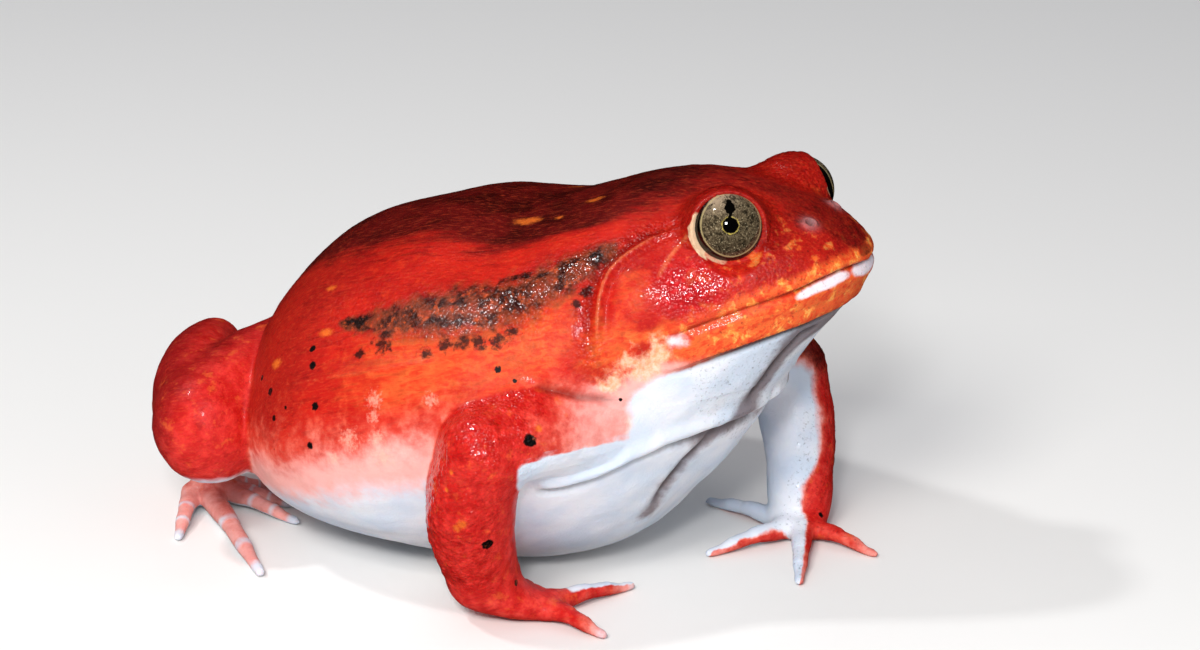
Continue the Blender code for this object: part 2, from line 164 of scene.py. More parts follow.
def body_rings(rings=160, points=144):
    rows = smooth_rows(BODY, rings)
    a = 2 * np.pi * np.arange(points) / points
    c, s = np.cos(a), np.sin(a)
    x, top, bottom, half, mid, above, below = (rows[:, i, None] for i in range(7))
    n = np.where(s[None] >= 0, above, below)
    y = half * np.sign(c) * np.abs(c) ** (2 / n)
    z = mid + np.where(s[None] >= 0, top - mid, mid - bottom) * np.sign(s) * np.abs(s) ** (2 / n)
    return np.stack([np.broadcast_to(x, y.shape), y, z], -1)


def tube_rings(rows, rings=28, points=28, caps=7):
    p = smooth_rows(rows, rings)
    centre, radii = p[:, :3], p[:, 3:5]
    tangent = np.gradient(centre, axis=0)
    tangent /= np.linalg.norm(tangent, axis=1)[:, None]
    side = np.cross(tangent[0], (0, 0, 1.0))
    if np.linalg.norm(side) < 0.3:
        side = np.cross(tangent[0], (1.0, 0, 0))
    turn = 2 * np.pi * np.arange(points) / points
    out = []

    def ring(c, s, u, ra, rb):
        return c + s * ra * np.cos(turn)[:, None] + u * rb * np.sin(turn)[:, None]

    for i in range(rings):
        t = tangent[i]
        side = side - t * (side @ t)
        side = side / np.linalg.norm(side)
        up = np.cross(side, t)
        r = min(radii[i])
        if i == 0:
            for k in range(caps):
                a = math.pi / 2 * (k + 0.35) / caps
                out.append(ring(centre[0] - t * r * math.cos(a), side, up, radii[0][0] * math.sin(a), radii[0][1] * math.sin(a)))
        out.append(ring(centre[i], side, up, *radii[i]))
        if i == rings - 1:
            for k in reversed(range(caps)):
                a = math.pi / 2 * (k + 0.35) / caps
                out.append(ring(centre[-1] + t * r * math.cos(a), side, up, radii[-1][0] * math.sin(a), radii[-1][1] * math.sin(a)))
    return out


def digit_rows(root, tip, r0, r1, rise=1.0):
    (x0, y0), (x1, y1) = root, tip
    rows = []
    for t, z, r in (
        (0, 2.0, r0),
        (0.2, 1.6 + 0.1 * rise, r0 * 0.86),
        (0.35, 1.0 + rise * 0.8, r0 * 0.80),
        (0.52, 1.0 + rise * 0.5, (r0 * 0.6 + r1 * 0.4) * 0.80),
        (0.7, 0.9 + 0.3 * rise, (r0 + r1) * 0.41),
        (0.84, r1 * 0.85, r1 * 0.86),
        (0.94, r1 * 0.72, r1 * 0.80),
        (1.0, r1 * 0.65, r1 * 0.68),
    ):
        rows.append((x0 + (x1 - x0) * t, y0 + (y1 - y0) * t, z, r, r * 0.88))
    return rows


# ---------------------------------------------------------------- distance fields on a grid
VOXEL = 0.5
BAND = 10
LOW = np.array((-51.0, -43.0, -5.0))
SHAPE = (226, 172, 132)
AXES = [LOW[i] + VOXEL * np.arange(SHAPE[i]) for i in range(3)]
GX = AXES[0][:, None, None].astype(np.float32)
GY = AXES[1][None, :, None].astype(np.float32)
GZ = AXES[2][None, None, :].astype(np.float32)


def field_of(rings):
    points, quads, tris = loft(rings)
    grid = vdb.FloatGrid.createLevelSetFromPolygons(
        points, triangles=tris, quads=quads, transform=vdb.createLinearTransform(voxelSize=VOXEL), halfWidth=float(BAND)
    )
    out = np.full(SHAPE, VOXEL * BAND, np.float32)
    grid.copyToArray(out, ijk=tuple(int(round(v / VOXEL)) for v in LOW))
    return out


def join(a, b, k):
    """Union of two fields with a fillet about k wide."""
    h = np.maximum(k - np.abs(a - b), 0) / k
    return np.minimum(a, b) - h * h * k * 0.25


def ellipsoid_field(centre, radii, axes=None):
    d = [GX - centre[0], GY - centre[1], GZ - centre[2]]
    if axes is not None:
        d = [d[0] * a[0] + d[1] * a[1] + d[2] * a[2] for a in axes]
    k0 = np.sqrt(sum((v / r) ** 2 for v, r in zip(d, radii)))
    k1 = np.sqrt(sum((v / r**2) ** 2 for v, r in zip(d, radii)))
    return (k0 * (k0 - 1) / np.maximum(k1, 1e-6)).astype(np.float32)


FORMS = {}  # the trunk and each limb on its own, to tell where one ends and the next begins


def make_field():
    body = field_of(body_rings())
    for side in (-1, 1):
        centre, axis = eye_frame(side)
        brow = centre - 1.3 * axis - (0.3, 0, 0.2)
        body = join(body, ellipsoid_field(brow, (5.7, 5.2, 5.1)), 1.8)
        body = join(body, ellipsoid_field(centre - 0.45 * axis, (LID_RADIUS,) * 3), 0.9)
    FORMS["trunk"] = body.copy()
    for side, arm, fingers, leg, toes in (
        ("right", RIGHT_ARM, RIGHT_FINGERS, RIGHT_LEG, RIGHT_TOES),
        ("left", LEFT_ARM, LEFT_FINGERS, LEFT_LEG, LEFT_TOES),
    ):
        upper = field_of(tube_rings(arm["upper_arm"]))
        fore = field_of(tube_rings(arm["forearm"]))
        hand = field_of(tube_rings(arm["hand"]))
        limb = join(join(upper, fore, 1.6), hand, 2.0)
        for r in fingers:
            limb = join(limb, field_of(tube_rings(digit_rows(r[0:2], r[2:4], r[4], r[5]), 40, 20)), 1.0)
        FORMS["arm_" + side] = limb
        body = join(body, limb, 2.4)
        thigh = field_of(tube_rings(leg["thigh"]))
        shank = field_of(tube_rings(leg["shank"]))
        foot = field_of(tube_rings(leg["foot"]))
        limb = join(join(thigh, shank, 1.0), foot, 1.6)
        for r in toes:
            limb = join(limb, field_of(tube_rings(digit_rows(r[0:2], r[2:4], r[4], r[5]), 40, 20)), 1.0)
        FORMS["leg_" + side] = limb
        body = join(body, limb, 1.2)
    return body


def eye_frame(side):
    return EYE_CENTRES[side], EYE_AXES[side] / np.linalg.norm(EYE_AXES[side])


def eye_places(p):
    """Each point's offset from the eye on its own side, that eye's axis, and the distances along and off the axis."""
    (cr, ar), (cl, al) = eye_frame(-1), eye_frame(1)
    right_side = (p[:, 1] < 0)[:, None]
    d = p - np.where(right_side, cr, cl)
    a = np.where(right_side, ar, al)
    h = (d * a).sum(1)
    return d, a, h, np.sqrt(np.maximum((d * d).sum(1) - h * h, 0))


def eye_edit(f, x, y, z):
    """Opens the lids over each eyeball and rolls a rim round the opening."""
    h0 = math.sqrt(EYE_RADIUS**2 - EYE_OPENING**2)
    for side in (1, -1):
        c, a = eye_frame(side)
        dx, dy, dz = x - c[0], y - c[1], z - c[2]
        h = dx * a[0] + dy * a[1] + dz * a[2]
        q = np.sqrt(dx * dx + dy * dy + dz * dz)
        r = np.sqrt(np.maximum(q * q - h * h, 0))
        above = np.clip((dz - h * a[2]) / EYE_RADIUS, 0, 1)
        open_r = EYE_OPENING - 0.45 * above**2 + np.maximum(h - h0, 0) * 1.1
        cone = np.maximum((r - open_r) * 0.82, (h0 - 0.8) - h)
        f = np.maximum(f, -cone)
        ring = np.sqrt((r - (EYE_OPENING - 0.45 * above**2 + 0.08)) ** 2 + (h - (h0 - 0.10)) ** 2) - (0.24 + 0.10 * above)
        f = join(f, ring, 0.8)
        f = np.maximum(f, (EYE_RADIUS - 0.14) - q)
    return f


FIELD = make_field()


def sample(points, field=None):
    """The field at any points, by trilinear interpolation."""
    field = FIELD if field is None else field
    g = (points - LOW) / VOXEL
    i = np.clip(np.floor(g).astype(int), 0, np.array(SHAPE) - 2)
    t = g - i
    x, y, z = i.T
    u, v, w = t.T
    out = 0
    for dx in (0, 1):
        for dy in (0, 1):
            for dz in (0, 1):
                weight = (u if dx else 1 - u) * (v if dy else 1 - v) * (w if dz else 1 - w)
                out = out + weight * field[x + dx, y + dy, z + dz]
    return out


def surface(points):
    return eye_edit(sample(points), points[:, 0], points[:, 1], points[:, 2])


def gradient(points, step=0.2):
    out = np.empty_like(points)
    for i in range(3):
        d = np.zeros(3)
        d[i] = step
        out[:, i] = (surface(points + d) - surface(points - d)) / (2 * step)
    return out


def settle(points, rounds=2, step=0.2):
    """Moves points on to the surface, along its slope."""
    for _ in range(rounds):
        g = gradient(points, step)
        points = points - g * (np.clip(surface(points), -0.6, 0.6) / np.maximum((g * g).sum(1), 0.2))[:, None]
    return points


# ---------------------------------------------------------------- skin mesh
def extract():
    edited = eye_edit(FIELD, GX, GY, GZ).astype(np.float32)
    grid = vdb.FloatGrid(float(VOXEL * BAND))
    grid.copyFromArray(edited, ijk=tuple(int(round(v / VOXEL)) for v in LOW))
    grid.transform = vdb.createLinearTransform(voxelSize=VOXEL)
    points, quads = grid.convertToQuads(0.0)
    return points.astype(float), quads.astype(np.int64)


def keep_largest(points, quads):
    """Only the outer skin: any separate shell inside it is dropped."""
    label = np.arange(len(points))
    while True:
        low = label[quads].min(1)
        new = label.copy()
        np.minimum.at(new, quads.ravel(), np.repeat(low, 4))
        new = new[new]
        if (new == label).all():
            break
        label = new
    names, counts = np.unique(label[quads[:, 0]], return_counts=True)
    keep = label[quads[:, 0]] == names[counts.argmax()]
    quads = quads[keep]
    used = np.zeros(len(points), bool)
    used[quads] = True
    index = np.cumsum(used) - 1
    return points[used], index[quads]


def build_skin():
    points, quads = keep_largest(*extract())
    mesh = bpy.data.meshes.new("skin")
    mesh.from_pydata(points.tolist(), [], quads.tolist())
    bm = bmesh.new()
    bm.from_mesh(mesh)
    bm.normal_update()
    return bm, mesh


def coords_of(bm):
    return np.array([v.co for v in bm.verts])


def refine(bm, wanted):
    """Halves the faces whose corners are all wanted; settling the new points on the surface is left to the caller."""
    pts = coords_of(bm)
    mask = wanted(pts)
    bm.verts.ensure_lookup_table()
    edges = [e for e in bm.edges if mask[e.verts[0].index] and mask[e.verts[1].index]]
    bmesh.ops.subdivide_edges(bm, edges=edges, cuts=1, use_grid_fill=True)
    bm.verts.index_update()
    bm.verts.ensure_lookup_table()
    return bm


# ---------------------------------------------------------------- numbers from noise, all seeded
def lattice(ix, iy, iz, seed):
    """Evenly spread numbers from 0 to 1, one for each cell of a lattice."""
    h = (ix.astype(np.int64) * 73856093) ^ (iy.astype(np.int64) * 19349663) ^ (iz.astype(np.int64) * 83492791) ^ (seed * 2654435761)
    h = (h ^ (h >> 13)) * 1274126177
    h = h ^ (h >> 16)
    return (h & 0xFFFFF) / float(0xFFFFF)


def noise(p, size, seed=0, octaves=1):
    """Smooth value noise from -1 to 1."""
    total, weight, out = 0.0, 1.0, np.zeros(len(p))
    for o in range(octaves):
        g = p / size * 2.0**o
        i = np.floor(g)
        t = g - i
        t = t * t * (3 - 2 * t)
        i = i.astype(np.int64)
        value = np.zeros(len(p))
        for dx in (0, 1):
            for dy in (0, 1):
                for dz in (0, 1):
                    w = (t[:, 0] if dx else 1 - t[:, 0]) * (t[:, 1] if dy else 1 - t[:, 1]) * (t[:, 2] if dz else 1 - t[:, 2])
                    value += w * lattice(i[:, 0] + dx, i[:, 1] + dy, i[:, 2] + dz, seed + o)
        out += weight * (value * 2 - 1)
        total += weight
        weight *= 0.5
    return out / total


def cells(p, size, seed=0):
    """Distance to the nearest of scattered points, in cell sizes, and that point's own number."""
    g = p / size
    i = np.floor(g).astype(np.int64)
    best = np.full(len(p), 9.0)
    own = np.zeros(len(p))
    for dx in (-1, 0, 1):
        for dy in (-1, 0, 1):
            for dz in (-1, 0, 1):
                cx, cy, cz = i[:, 0] + dx, i[:, 1] + dy, i[:, 2] + dz
                a, b, c = (lattice(cx, cy, cz, seed + k) for k in (11, 23, 37))
                d = np.sqrt((cx + a - g[:, 0]) ** 2 + (cy + b - g[:, 1]) ** 2 + (cz + c - g[:, 2]) ** 2)
                near = d < best
                best = np.where(near, d, best)
                own = np.where(near, a, own)
    return best, own


def step(lo, hi, v):
    t = np.clip((v - lo) / (hi - lo), 0, 1)
    return t * t * (3 - 2 * t)


# ---------------------------------------------------------------- lines and spots on the skin, right side
MOUTH = [(57.6, 0.0, 46.9), (56.6, -3.4, 47.1), (55.5, -5.7, 46.9), (53.8, -8.1, 46.1), (52.0, -10.1, 45.2), (49.0, -12.7, 44.1),
         (45.9, -14.8, 43.0), (42.5, -16.8, 41.6), (39.0, -18.8, 40.0), (37.4, -19.7, 38.6)]
MANDIBLE = [(55.6, 0.0, 42.0), (54.6, -3.5, 41.2), (52.6, -7.0, 40.4), (50.0, -10.2, 39.4), (47.6, -12.2, 38.5), (45.1, -14.4, 37.6),
            (42.2, -16.5, 36.5), (39.5, -18.2, 35.3), (36.6, -20.0, 34.8), (33.0, -22.0, 35.0)]
TYMPANIC_FOLD = [(38.2, -12.6, 52.9), (36.6, -12.9, 52.3), (35.0, -13.4, 51.4), (33.5, -14.3, 50.8), (32.1, -15.7, 49.8), (30.7, -17.1, 48.6),
                 (29.6, -18.6, 47.2), (29.2, -20.0, 45.5), (29.2, -21.2, 43.9), (29.4, -22.2, 41.8), (29.8, -23.2, 39.0), (31.0, -24.0, 36.0)]
CHEEK_LINE = [(38.3, -13.6, 51.8), (37.4, -14.3, 50.8), (36.9, -14.9, 49.9), (36.4, -15.9, 48.7), (36.0, -16.9, 47.4), (35.6, -18.1, 46.0)]
LATERAL_FOLD = [(-16.0, -27.6, 26.6), (-9.7, -30.0, 29.1), (-4.9, -30.9, 30.9), (-0.7, -31.2, 32.3), (3.5, -31.2, 33.6), (7.1, -30.9, 34.6), (12.4, -30.1, 35.5)]
PECTORAL_FOLD = [(22.0, -26.4, 18.6), (25.3, -24.2, 19.0), (29.1, -21.7, 20.2), (32.9, -19.3, 22.4), (36.0, -16.2, 23.9), (39.4, -12.0, 24.9),
                 (42.4, -6.0, 25.4), (43.2, 0.0, 25.6)]
THROAT_FOLD = [(52.4, -3.4, 38.6), (49.0, -2.4, 36.2), (46.4, -2.9, 33.0), (44.2, -3.6, 29.4), (42.2, -4.6, 25.6)]
CHEST_FOLD = [(42.0, -7.0, 24.4), (40.0, -9.4, 22.6), (37.0, -10.6, 19.6), (34.0, -11.0, 15.6), (31.0, -10.4, 11.0)]
ARM_FOLD = [(24.6, -31.6, 34.7), (25.7, -30.9, 34.7), (27.9, -29.6, 34.1),
            (29.9, -28.0, 33.1), (31.6, -25.7, 32.3), (34.0, -21.9, 30.7)]
CANTHUS = [(46.4, -9.0, 55.0), (48.6, -6.6, 54.2), (50.8, -4.6, 53.2), (53.2, -3.4, 51.6), (55.6, -2.2, 49.8)]
NOSTRIL = np.array((50.75, -4.1, 52.15))

# dark dorsolateral patch: points along it and half widths
PATCH = [(-6.0, -25.2, 36.2, 0.8), (-2.5, -26.2, 37.3, 2.2), (1.0, -26.4, 38.5, 3.6), (6.0, -26.0, 39.9, 4.7), (12.0, -25.2, 41.2, 4.9),
         (17.0, -23.8, 42.4, 4.4), (21.0, -21.4, 44.4, 3.9), (25.0, -18.8, 46.8, 3.6), (28.0, -16.8, 48.8, 2.2)]
# black spots on the right side: place and radius
BLOTCHES = [(-3.3, -26.0, 37.0, 1.5), (-4.8, -25.3, 36.9, 1.1), (-1.3, -29.4, 34.5, 0.85), (1.7, -29.0, 35.9, 1.5), (1.9, -28.2, 36.9, 1.1), (8.5, -29.9, 36.1, 1.0),
            (11.0, -29.1, 37.3, 1.1), (13.3, -28.4, 37.9, 1.3), (15.6, -28.0, 38.2, 1.3), (18.0, -27.4, 38.6, 1.5), (19.6, -26.4, 39.6, 1.1),
            (15.2, -21.2, 44.5, 0.9), (16.8, -20.7, 45.1, 0.9), (18.2, -20.4, 45.5, 0.8), (27.0, -20.9, 44.6, 1.1), (27.3, -17.7, 48.2, 1.2), (26.3, -22.0, 43.2, 0.8)]
SPOTS = [(-9.3, -27.2, 32.9, 0.62), (-8.6, -28.9, 31.4, 0.72), (-18.3, -25.2, 26.7, 0.5), (-15.7, -27.9, 26.2, 0.68), (-11.7, -30.9, 25.7, 0.35),
         (-6.4, -32.4, 27.3, 0.7), (-13.8, -30.4, 23.7, 0.5), (-6.6, -33.6, 22.2, 0.6), (-13.4, -31.3, 19.6, 0.3), (18.4, -28.6, 35.2, 0.6),
         (21.6, -30.0, 34.6, 0.35), (33.2, -23.1, 31.6, 0.3)]
FLECKS = [(-15.5, -25.9, 29.3, 0.95), (-8.0, -25.9, 34.9, 0.9), (-10.5, -19.4, 38.2, 0.7), (12.0, -8.5, 48.7, 1.3), (13.0, -8.2, 49.0, 1.1), (20.8, -5.8, 51.7, 0.9),
          (21.6, -5.5, 51.8, 0.7), (17.3, -9.0, 50.0, 0.6)]
PALES = [(-0.3, -34.3, 24.4, 1.7), (3.8, -34.3, 25.2, 1.3), (4.6, -34.4, 22.8, 1.8), (2.7, -33.0, 29.9, 1.4), (-2.7, -34.3, 21.3, 1.3), (10.7, -32.4, 31.0, 1.1), (3.0, -33.8, 28.0, 1.0)]
ARM_SPOTS = [(26.4, -35.2, 29.1, 1.0), (21.0, -36.8, 14.6, 0.95), (21.6, -30.1, 6.7, 0.5)]
ARM_FLECKS = [(18.1, -38.2, 17.4, 1.0), (17.2, -38.0, 16.6, 0.8), (15.5, -37.2, 21.3, 0.5), (16.5, -37.8, 24.1, 0.5), (27.0, -34.0, 30.4, 0.7)]
FAR_ARM_SPOTS = [(45.0, 15.7, 3.4, 0.45), (44.4, 17.0, 5.0, 0.5)]


def beside(p, line, reach=12.0):
    """Distance to a polyline, place along it from 0 to 1, and height above its nearest point; far points get a large distance."""
    line = np.asarray(line, float)[:, :3]
    low, high = line.min(0) - reach, line.max(0) + reach
    near = np.all((p > low) & (p < high), axis=1)
    dist = np.full(len(p), 99.0)
    along = np.zeros(len(p))
    above = np.zeros(len(p))
    q = p[near]
    best = np.full(len(q), 1e9)
    at = np.zeros(len(q))
    up = np.zeros(len(q))
    lengths = np.linalg.norm(np.diff(line, axis=0), axis=1)
    start = np.concatenate([[0], np.cumsum(lengths)])
    for k in range(len(line) - 1):
        a, d = line[k], line[k + 1] - line[k]
        t = np.clip(((q - a) @ d) / (d @ d), 0, 1)
        c = a + t[:, None] * d
        r = np.linalg.norm(q - c, axis=1)
        closer = r < best
        best = np.where(closer, r, best)
        at = np.where(closer, (start[k] + t * lengths[k]) / start[-1], at)
        up = np.where(closer, q[:, 2] - c[:, 2], up)
    dist[near], along[near], above[near] = best, at, up
    return dist, along, above


def bell(d, width):
    return np.exp(-((d / width) ** 2))


def ends(t, lo=0.1, hi=0.12):
    """Fades a line out at its two ends."""
    return step(0, max(lo, 1e-6), t) * step(0, max(hi, 1e-6), 1 - t)


def spot_value(p, spots, stretch=None):
    """Highest of the spots' own values: 1 at a centre, 0 at its edge, below 0 outside."""
    out = np.full(len(p), -9.0)
    for x, y, z, r in spots:
        d = p - (x, y, z)
        if stretch is not None:
            s, k = stretch
            d = d - np.outer(d @ s, s) * (1 - 1 / k)
        out = np.maximum(out, 1 - np.linalg.norm(d, axis=1) / r)
    return out


def folded(p):
    """The same place on the right side of the body."""
    q = p.copy()
    q[:, 1] = -np.abs(q[:, 1])
    return q


def laid(rows, way=(0.44, -0.83, 0.35)):
    """The rows with their points moved along one direction until they lie on the skin."""
    p = np.array(rows, float)
    way = np.array(way)
    for _ in range(8):
        v = surface(p[:, :3])
        slope = (surface(p[:, :3] + 0.2 * way) - surface(p[:, :3] - 0.2 * way)) / 0.4
        p[:, :3] -= way * np.clip(v / np.maximum(slope, 0.35), -0.8, 0.8)[:, None]
    return [tuple(r) for r in p]


ARM_FOLD, THROAT_FOLD, MANDIBLE = laid(ARM_FOLD), laid(THROAT_FOLD), laid(MANDIBLE)
ARM_SPOTS, ARM_FLECKS = laid(ARM_SPOTS), laid(ARM_FLECKS)
BLOTCHES, SPOTS, PALES = laid(BLOTCHES), laid(SPOTS), laid(PALES)


# ---------------------------------------------------------------- build the mesh
def make_mesh():
    bm, mesh = build_skin()

    def digits_and_head(p):
        head = (p[:, 0] > 27.0) & (p[:, 2] > 62 - p[:, 0] * 0.95) & (np.abs(p[:, 1]) < 27)
        digit = np.zeros(len(p), bool)
        for table in (RIGHT_FINGERS, LEFT_FINGERS, RIGHT_TOES, LEFT_TOES):
            for r in table:
                d, _, _ = beside(p, [(r[0], r[1], 1.4), (r[2], r[3], 0.8)], 4.0)
                digit |= d < 2.9
        patch = beside(folded(p), PATCH, 5.0)[0] < 5.2
        arm = beside(p, [(29, -15, 26.4), (23.6, -25, 27.2), (17.9, -32.8, 26.8), (16.2, -32.2, 17), (15.6, -28, 6.4)], 8.0)[0] < 7.6
        return head | digit | patch | arm

    def close_work(p):
        q = folded(p)
        d = np.minimum(beside(q, MOUTH, 3)[0], beside(q, CHEEK_LINE, 2)[0] + 0.6)
        d = np.minimum(d, beside(q, TYMPANIC_FOLD, 3)[0] + 0.3)
        near = d < 1.5
        near |= np.linalg.norm(q - NOSTRIL, axis=1) < 2.2
        _, _, h, r = eye_places(p)
        near |= (h > 0.4) & (r < 6.4) & (h < 6)
        return near

    refine(bm, digits_and_head)
    refine(bm, close_work)
    bm.to_mesh(mesh)
    bm.free()
    return mesh


def points_of(mesh):
    out = np.empty(len(mesh.vertices) * 3, np.float32)
    mesh.vertices.foreach_get("co", out)
    return out.reshape(-1, 3).astype(float)


def put_points(mesh, points):
    mesh.vertices.foreach_set("co", points.astype(np.float32).ravel())
    mesh.update()


def normals_of(mesh):
    out = np.empty(len(mesh.vertices) * 3, np.float32)
    mesh.vertex_normals.foreach_get("vector", out)
    return out.reshape(-1, 3).astype(float)


def relax(points, edges, rounds, weight=0.5, mask=None):
    n = len(points)
    a, b = edges.T
    count = np.maximum(np.bincount(a, minlength=n) + np.bincount(b, minlength=n), 1)
    for _ in range(rounds):
        mean = np.stack([np.bincount(a, points[b, i], n) + np.bincount(b, points[a, i], n) for i in range(3)], 1) / count[:, None]
        move = (mean - points) * weight
        points = points + (move if mask is None else move * mask[:, None])
    return points


def edges_of(mesh):
    out = np.empty(len(mesh.edges) * 2, np.int32)
    mesh.edges.foreach_get("vertices", out)
    return out.reshape(-1, 2)


mesh = make_mesh()
edge_list = edges_of(mesh)
base = settle(points_of(mesh), 3)
base = relax(base, edge_list, 2, 0.5)
base = settle(base, 1)
put_points(mesh, base)
normal = normals_of(mesh)
q = folded(base)
count = len(base)


levels = {name: sample(base, form) for name, form in FORMS.items()}


def part_share(name):
    """1 on the limb, 0 on the trunk and the other limbs, with a soft change between them."""
    others = np.minimum.reduce([v for n, v in levels.items() if n != name])
    return step(-0.8, 0.8, others - levels[name])


arm_r, arm_l, leg_r, leg_l = (part_share(n) for n in ("arm_right", "arm_left", "leg_right", "leg_left"))
trunk = (1 - arm_r) * (1 - arm_l) * (1 - leg_r) * (1 - leg_l)


def column(i):
    return np.interp(base[:, 0], [r[0] for r in BODY], [r[i] for r in BODY])


top, bottom, middle = column(1), column(2), column(4)
height = np.where(base[:, 2] > middle, (base[:, 2] - middle) / np.maximum(top - middle, 1), (base[:, 2] - middle) / np.maximum(middle - bottom, 1))
x, y, z = base.T
eye_d, eye_a, eye_h, eye_r = eye_places(base)
NOSTRIL = settle(NOSTRIL[None], 3)[0]
lid = step(8.4, 6.2, np.linalg.norm(q - (41.9, -9.0, 51.5), axis=1)) * (z > 50)
by_eye = step(5.4, 4.3, eye_r) * (eye_h > 0)

# ---------------------------------------------------------------- folds, lips and grain, as real relief
mouth_d, mouth_t, mouth_up = beside(q, MOUTH)
jaw_d, jaw_t, jaw_up = beside(q, MANDIBLE)
tym_d, tym_t, _ = beside(q, TYMPANIC_FOLD)
tym_front = beside(q, [(a + 1.15, b, c) for a, b, c in TYMPANIC_FOLD])[0]
tym_back = beside(q, [(a - 1.2, b, c + 0.3) for a, b, c in TYMPANIC_FOLD])[0]
cheek_d, cheek_t, _ = beside(q, CHEEK_LINE)
lat_d, lat_t, lat_up = beside(q, LATERAL_FOLD)
pec_d, pec_t, pec_up = beside(q, PECTORAL_FOLD)
throat_d, throat_t, _ = beside(q, THROAT_FOLD)
chest_d, chest_t, _ = beside(q, CHEST_FOLD)
# the folds of throat and chest are fainter on the left side
one_side = step(1.5, -1.5, y)
throat_d = throat_d + 1.3 * (1 - one_side)
chest_d = chest_d + 1.1 * (1 - one_side)
armf_d, armf_t, armf_up = beside(q, ARM_FOLD)
can_d, can_t, _ = beside(q, CANTHUS)
nos_d = np.linalg.norm(q - NOSTRIL, axis=1)
tympanum = bell(np.linalg.norm((q - (33.3, -19.2, 44.6)) / (1, 1, 1.35), axis=1), 3.4)
patch_d, patch_t, _ = beside(q, PATCH, 12)
patch_half = np.interp(patch_t, np.linspace(0, 1, len(PATCH)), [r[3] for r in PATCH])
patch_in = np.where(trunk > 0.5, 1 - patch_d / np.maximum(patch_half, 0.3), -1.0)

head_on = step(24, 30, x) * (z > 30)
m = ends(mouth_t, 0.0, 0.16) * (trunk > 0.5)
lift = np.zeros(count)
trunk_wide = step(0.10, 0.42, trunk)
pec_low = pec_up + np.interp(pec_t, [0, 0.35, 0.6, 1], [0.4, 0.7, 1.4, 1.9])
lift += (-0.60 + 0.34 * step(0.35, 0.7, mouth_t)) * bell(mouth_d, 0.24) * m
lift += 0.16 * bell(mouth_up - 0.75, 0.75) * (mouth_d < 3.4) * (mouth_up > 0) * m
lift += -0.30 * bell(mouth_up + 0.35, 0.55) * (mouth_d < 3) * (mouth_up < 0) * m
lift += 0.16 * bell(mouth_up + 1.7, 0.8) * (mouth_d < 4) * m
j = ends(jaw_t, 0.0, 0.3) * (trunk > 0.5)
lift += 0.34 * bell(jaw_up - 0.75, 1.0) * (jaw_d < 3.6) * j
lift += -0.55 * bell(jaw_d - 0.5, 0.55) * (jaw_up < 0.15) * j * (1 - 0.45 * jaw_t)
lift += 0.40 * bell(tym_d, 0.6) * ends(tym_t, 0.06, 0.35) * np.interp(tym_t, [0.1, 0.45], [0.4, 1.0])
lift += -0.30 * bell(tym_front, 0.5) * ends(tym_t, 0.05, 0.4) - 0.36 * bell(tym_back, 0.75) * ends(tym_t, 0.1, 0.3)
lift += 0.16 * bell(cheek_d, 0.35) * ends(cheek_t, 0.1, 0.3)
lift += 0.55 * tympanum
lift += (0.34 * bell(lat_d, 0.75) - 0.16 * bell(lat_up - 1.7, 0.9) * (lat_d < 4)) * ends(lat_t, 0.25, 0.25) * trunk
lift += (-0.85 * bell(armf_d, 0.55) + 0.22 * bell(armf_up - 1.5, 0.9) * (armf_d < 4.5)) * ends(armf_t, 0.2, 0.3)
lift += (0.75 * bell(pec_up - 0.6, 1.1) * (pec_d < 4) - 0.85 * bell(pec_low, 0.65) * (pec_d < 5)) * ends(pec_t, 0.06, 0.05) * trunk_wide
lift += -0.70 * bell(throat_d, 0.8) * ends(throat_t, 0.15, 0.2) * trunk
lift += -0.75 * bell(chest_d, 0.8) * ends(chest_t, 0.2, 0.25) * trunk
lift += 0.22 * bell(can_d, 1.4) * ends(can_t, 0.2, 0.3)
lift += 0.36 * bell(nos_d - 0.74, 0.32) - 0.95 * bell(nos_d, 0.42)
# sag of loose skin, folds that follow the flank, and the sides of the belly
along = np.stack([x * 0.20, q[:, 1], z - 0.32 * x], 1)
loose = noise(along, 3.2, 5, 3)
lift += 0.20 * loose * trunk * step(0.92, 0.3, height) * (1 - head_on)
lift += 0.32 * noise(base, 9.0, 9, 2) * trunk * step(4, 12, z) * (1 - head_on)
lift += 0.10 * noise(base, 2.1, 12, 2) * head_on * (1 - by_eye)
lift += 1.5 * bell(x + 18, 9) * step(0.2, 0.75, height) * trunk * (z > 15)
lift += (0.75 * bell(x - 0, 7) - 0.62 * bell(x - 12.5, 6.5)) * step(0.6, 0.97, height) * trunk
shoulder = step(0.45, 0.9, height) * step(-5, 8, x) * step(34, 24, x)
lift += 0.30 * noise(np.stack([x * 0.4, q[:, 1] * 1.0, z], 1), 5.0, 21, 1) * shoulder
# wrinkles round the limbs' bends
limb = np.maximum.reduce([arm_r, arm_l, leg_r, leg_l])
armf_side = (armf_d < 8) & (y < 0)
lift += 0.14 * noise(base * (1, 1, 1.7), 2.4, 31, 2) * limb * step(2.5, 6, z)
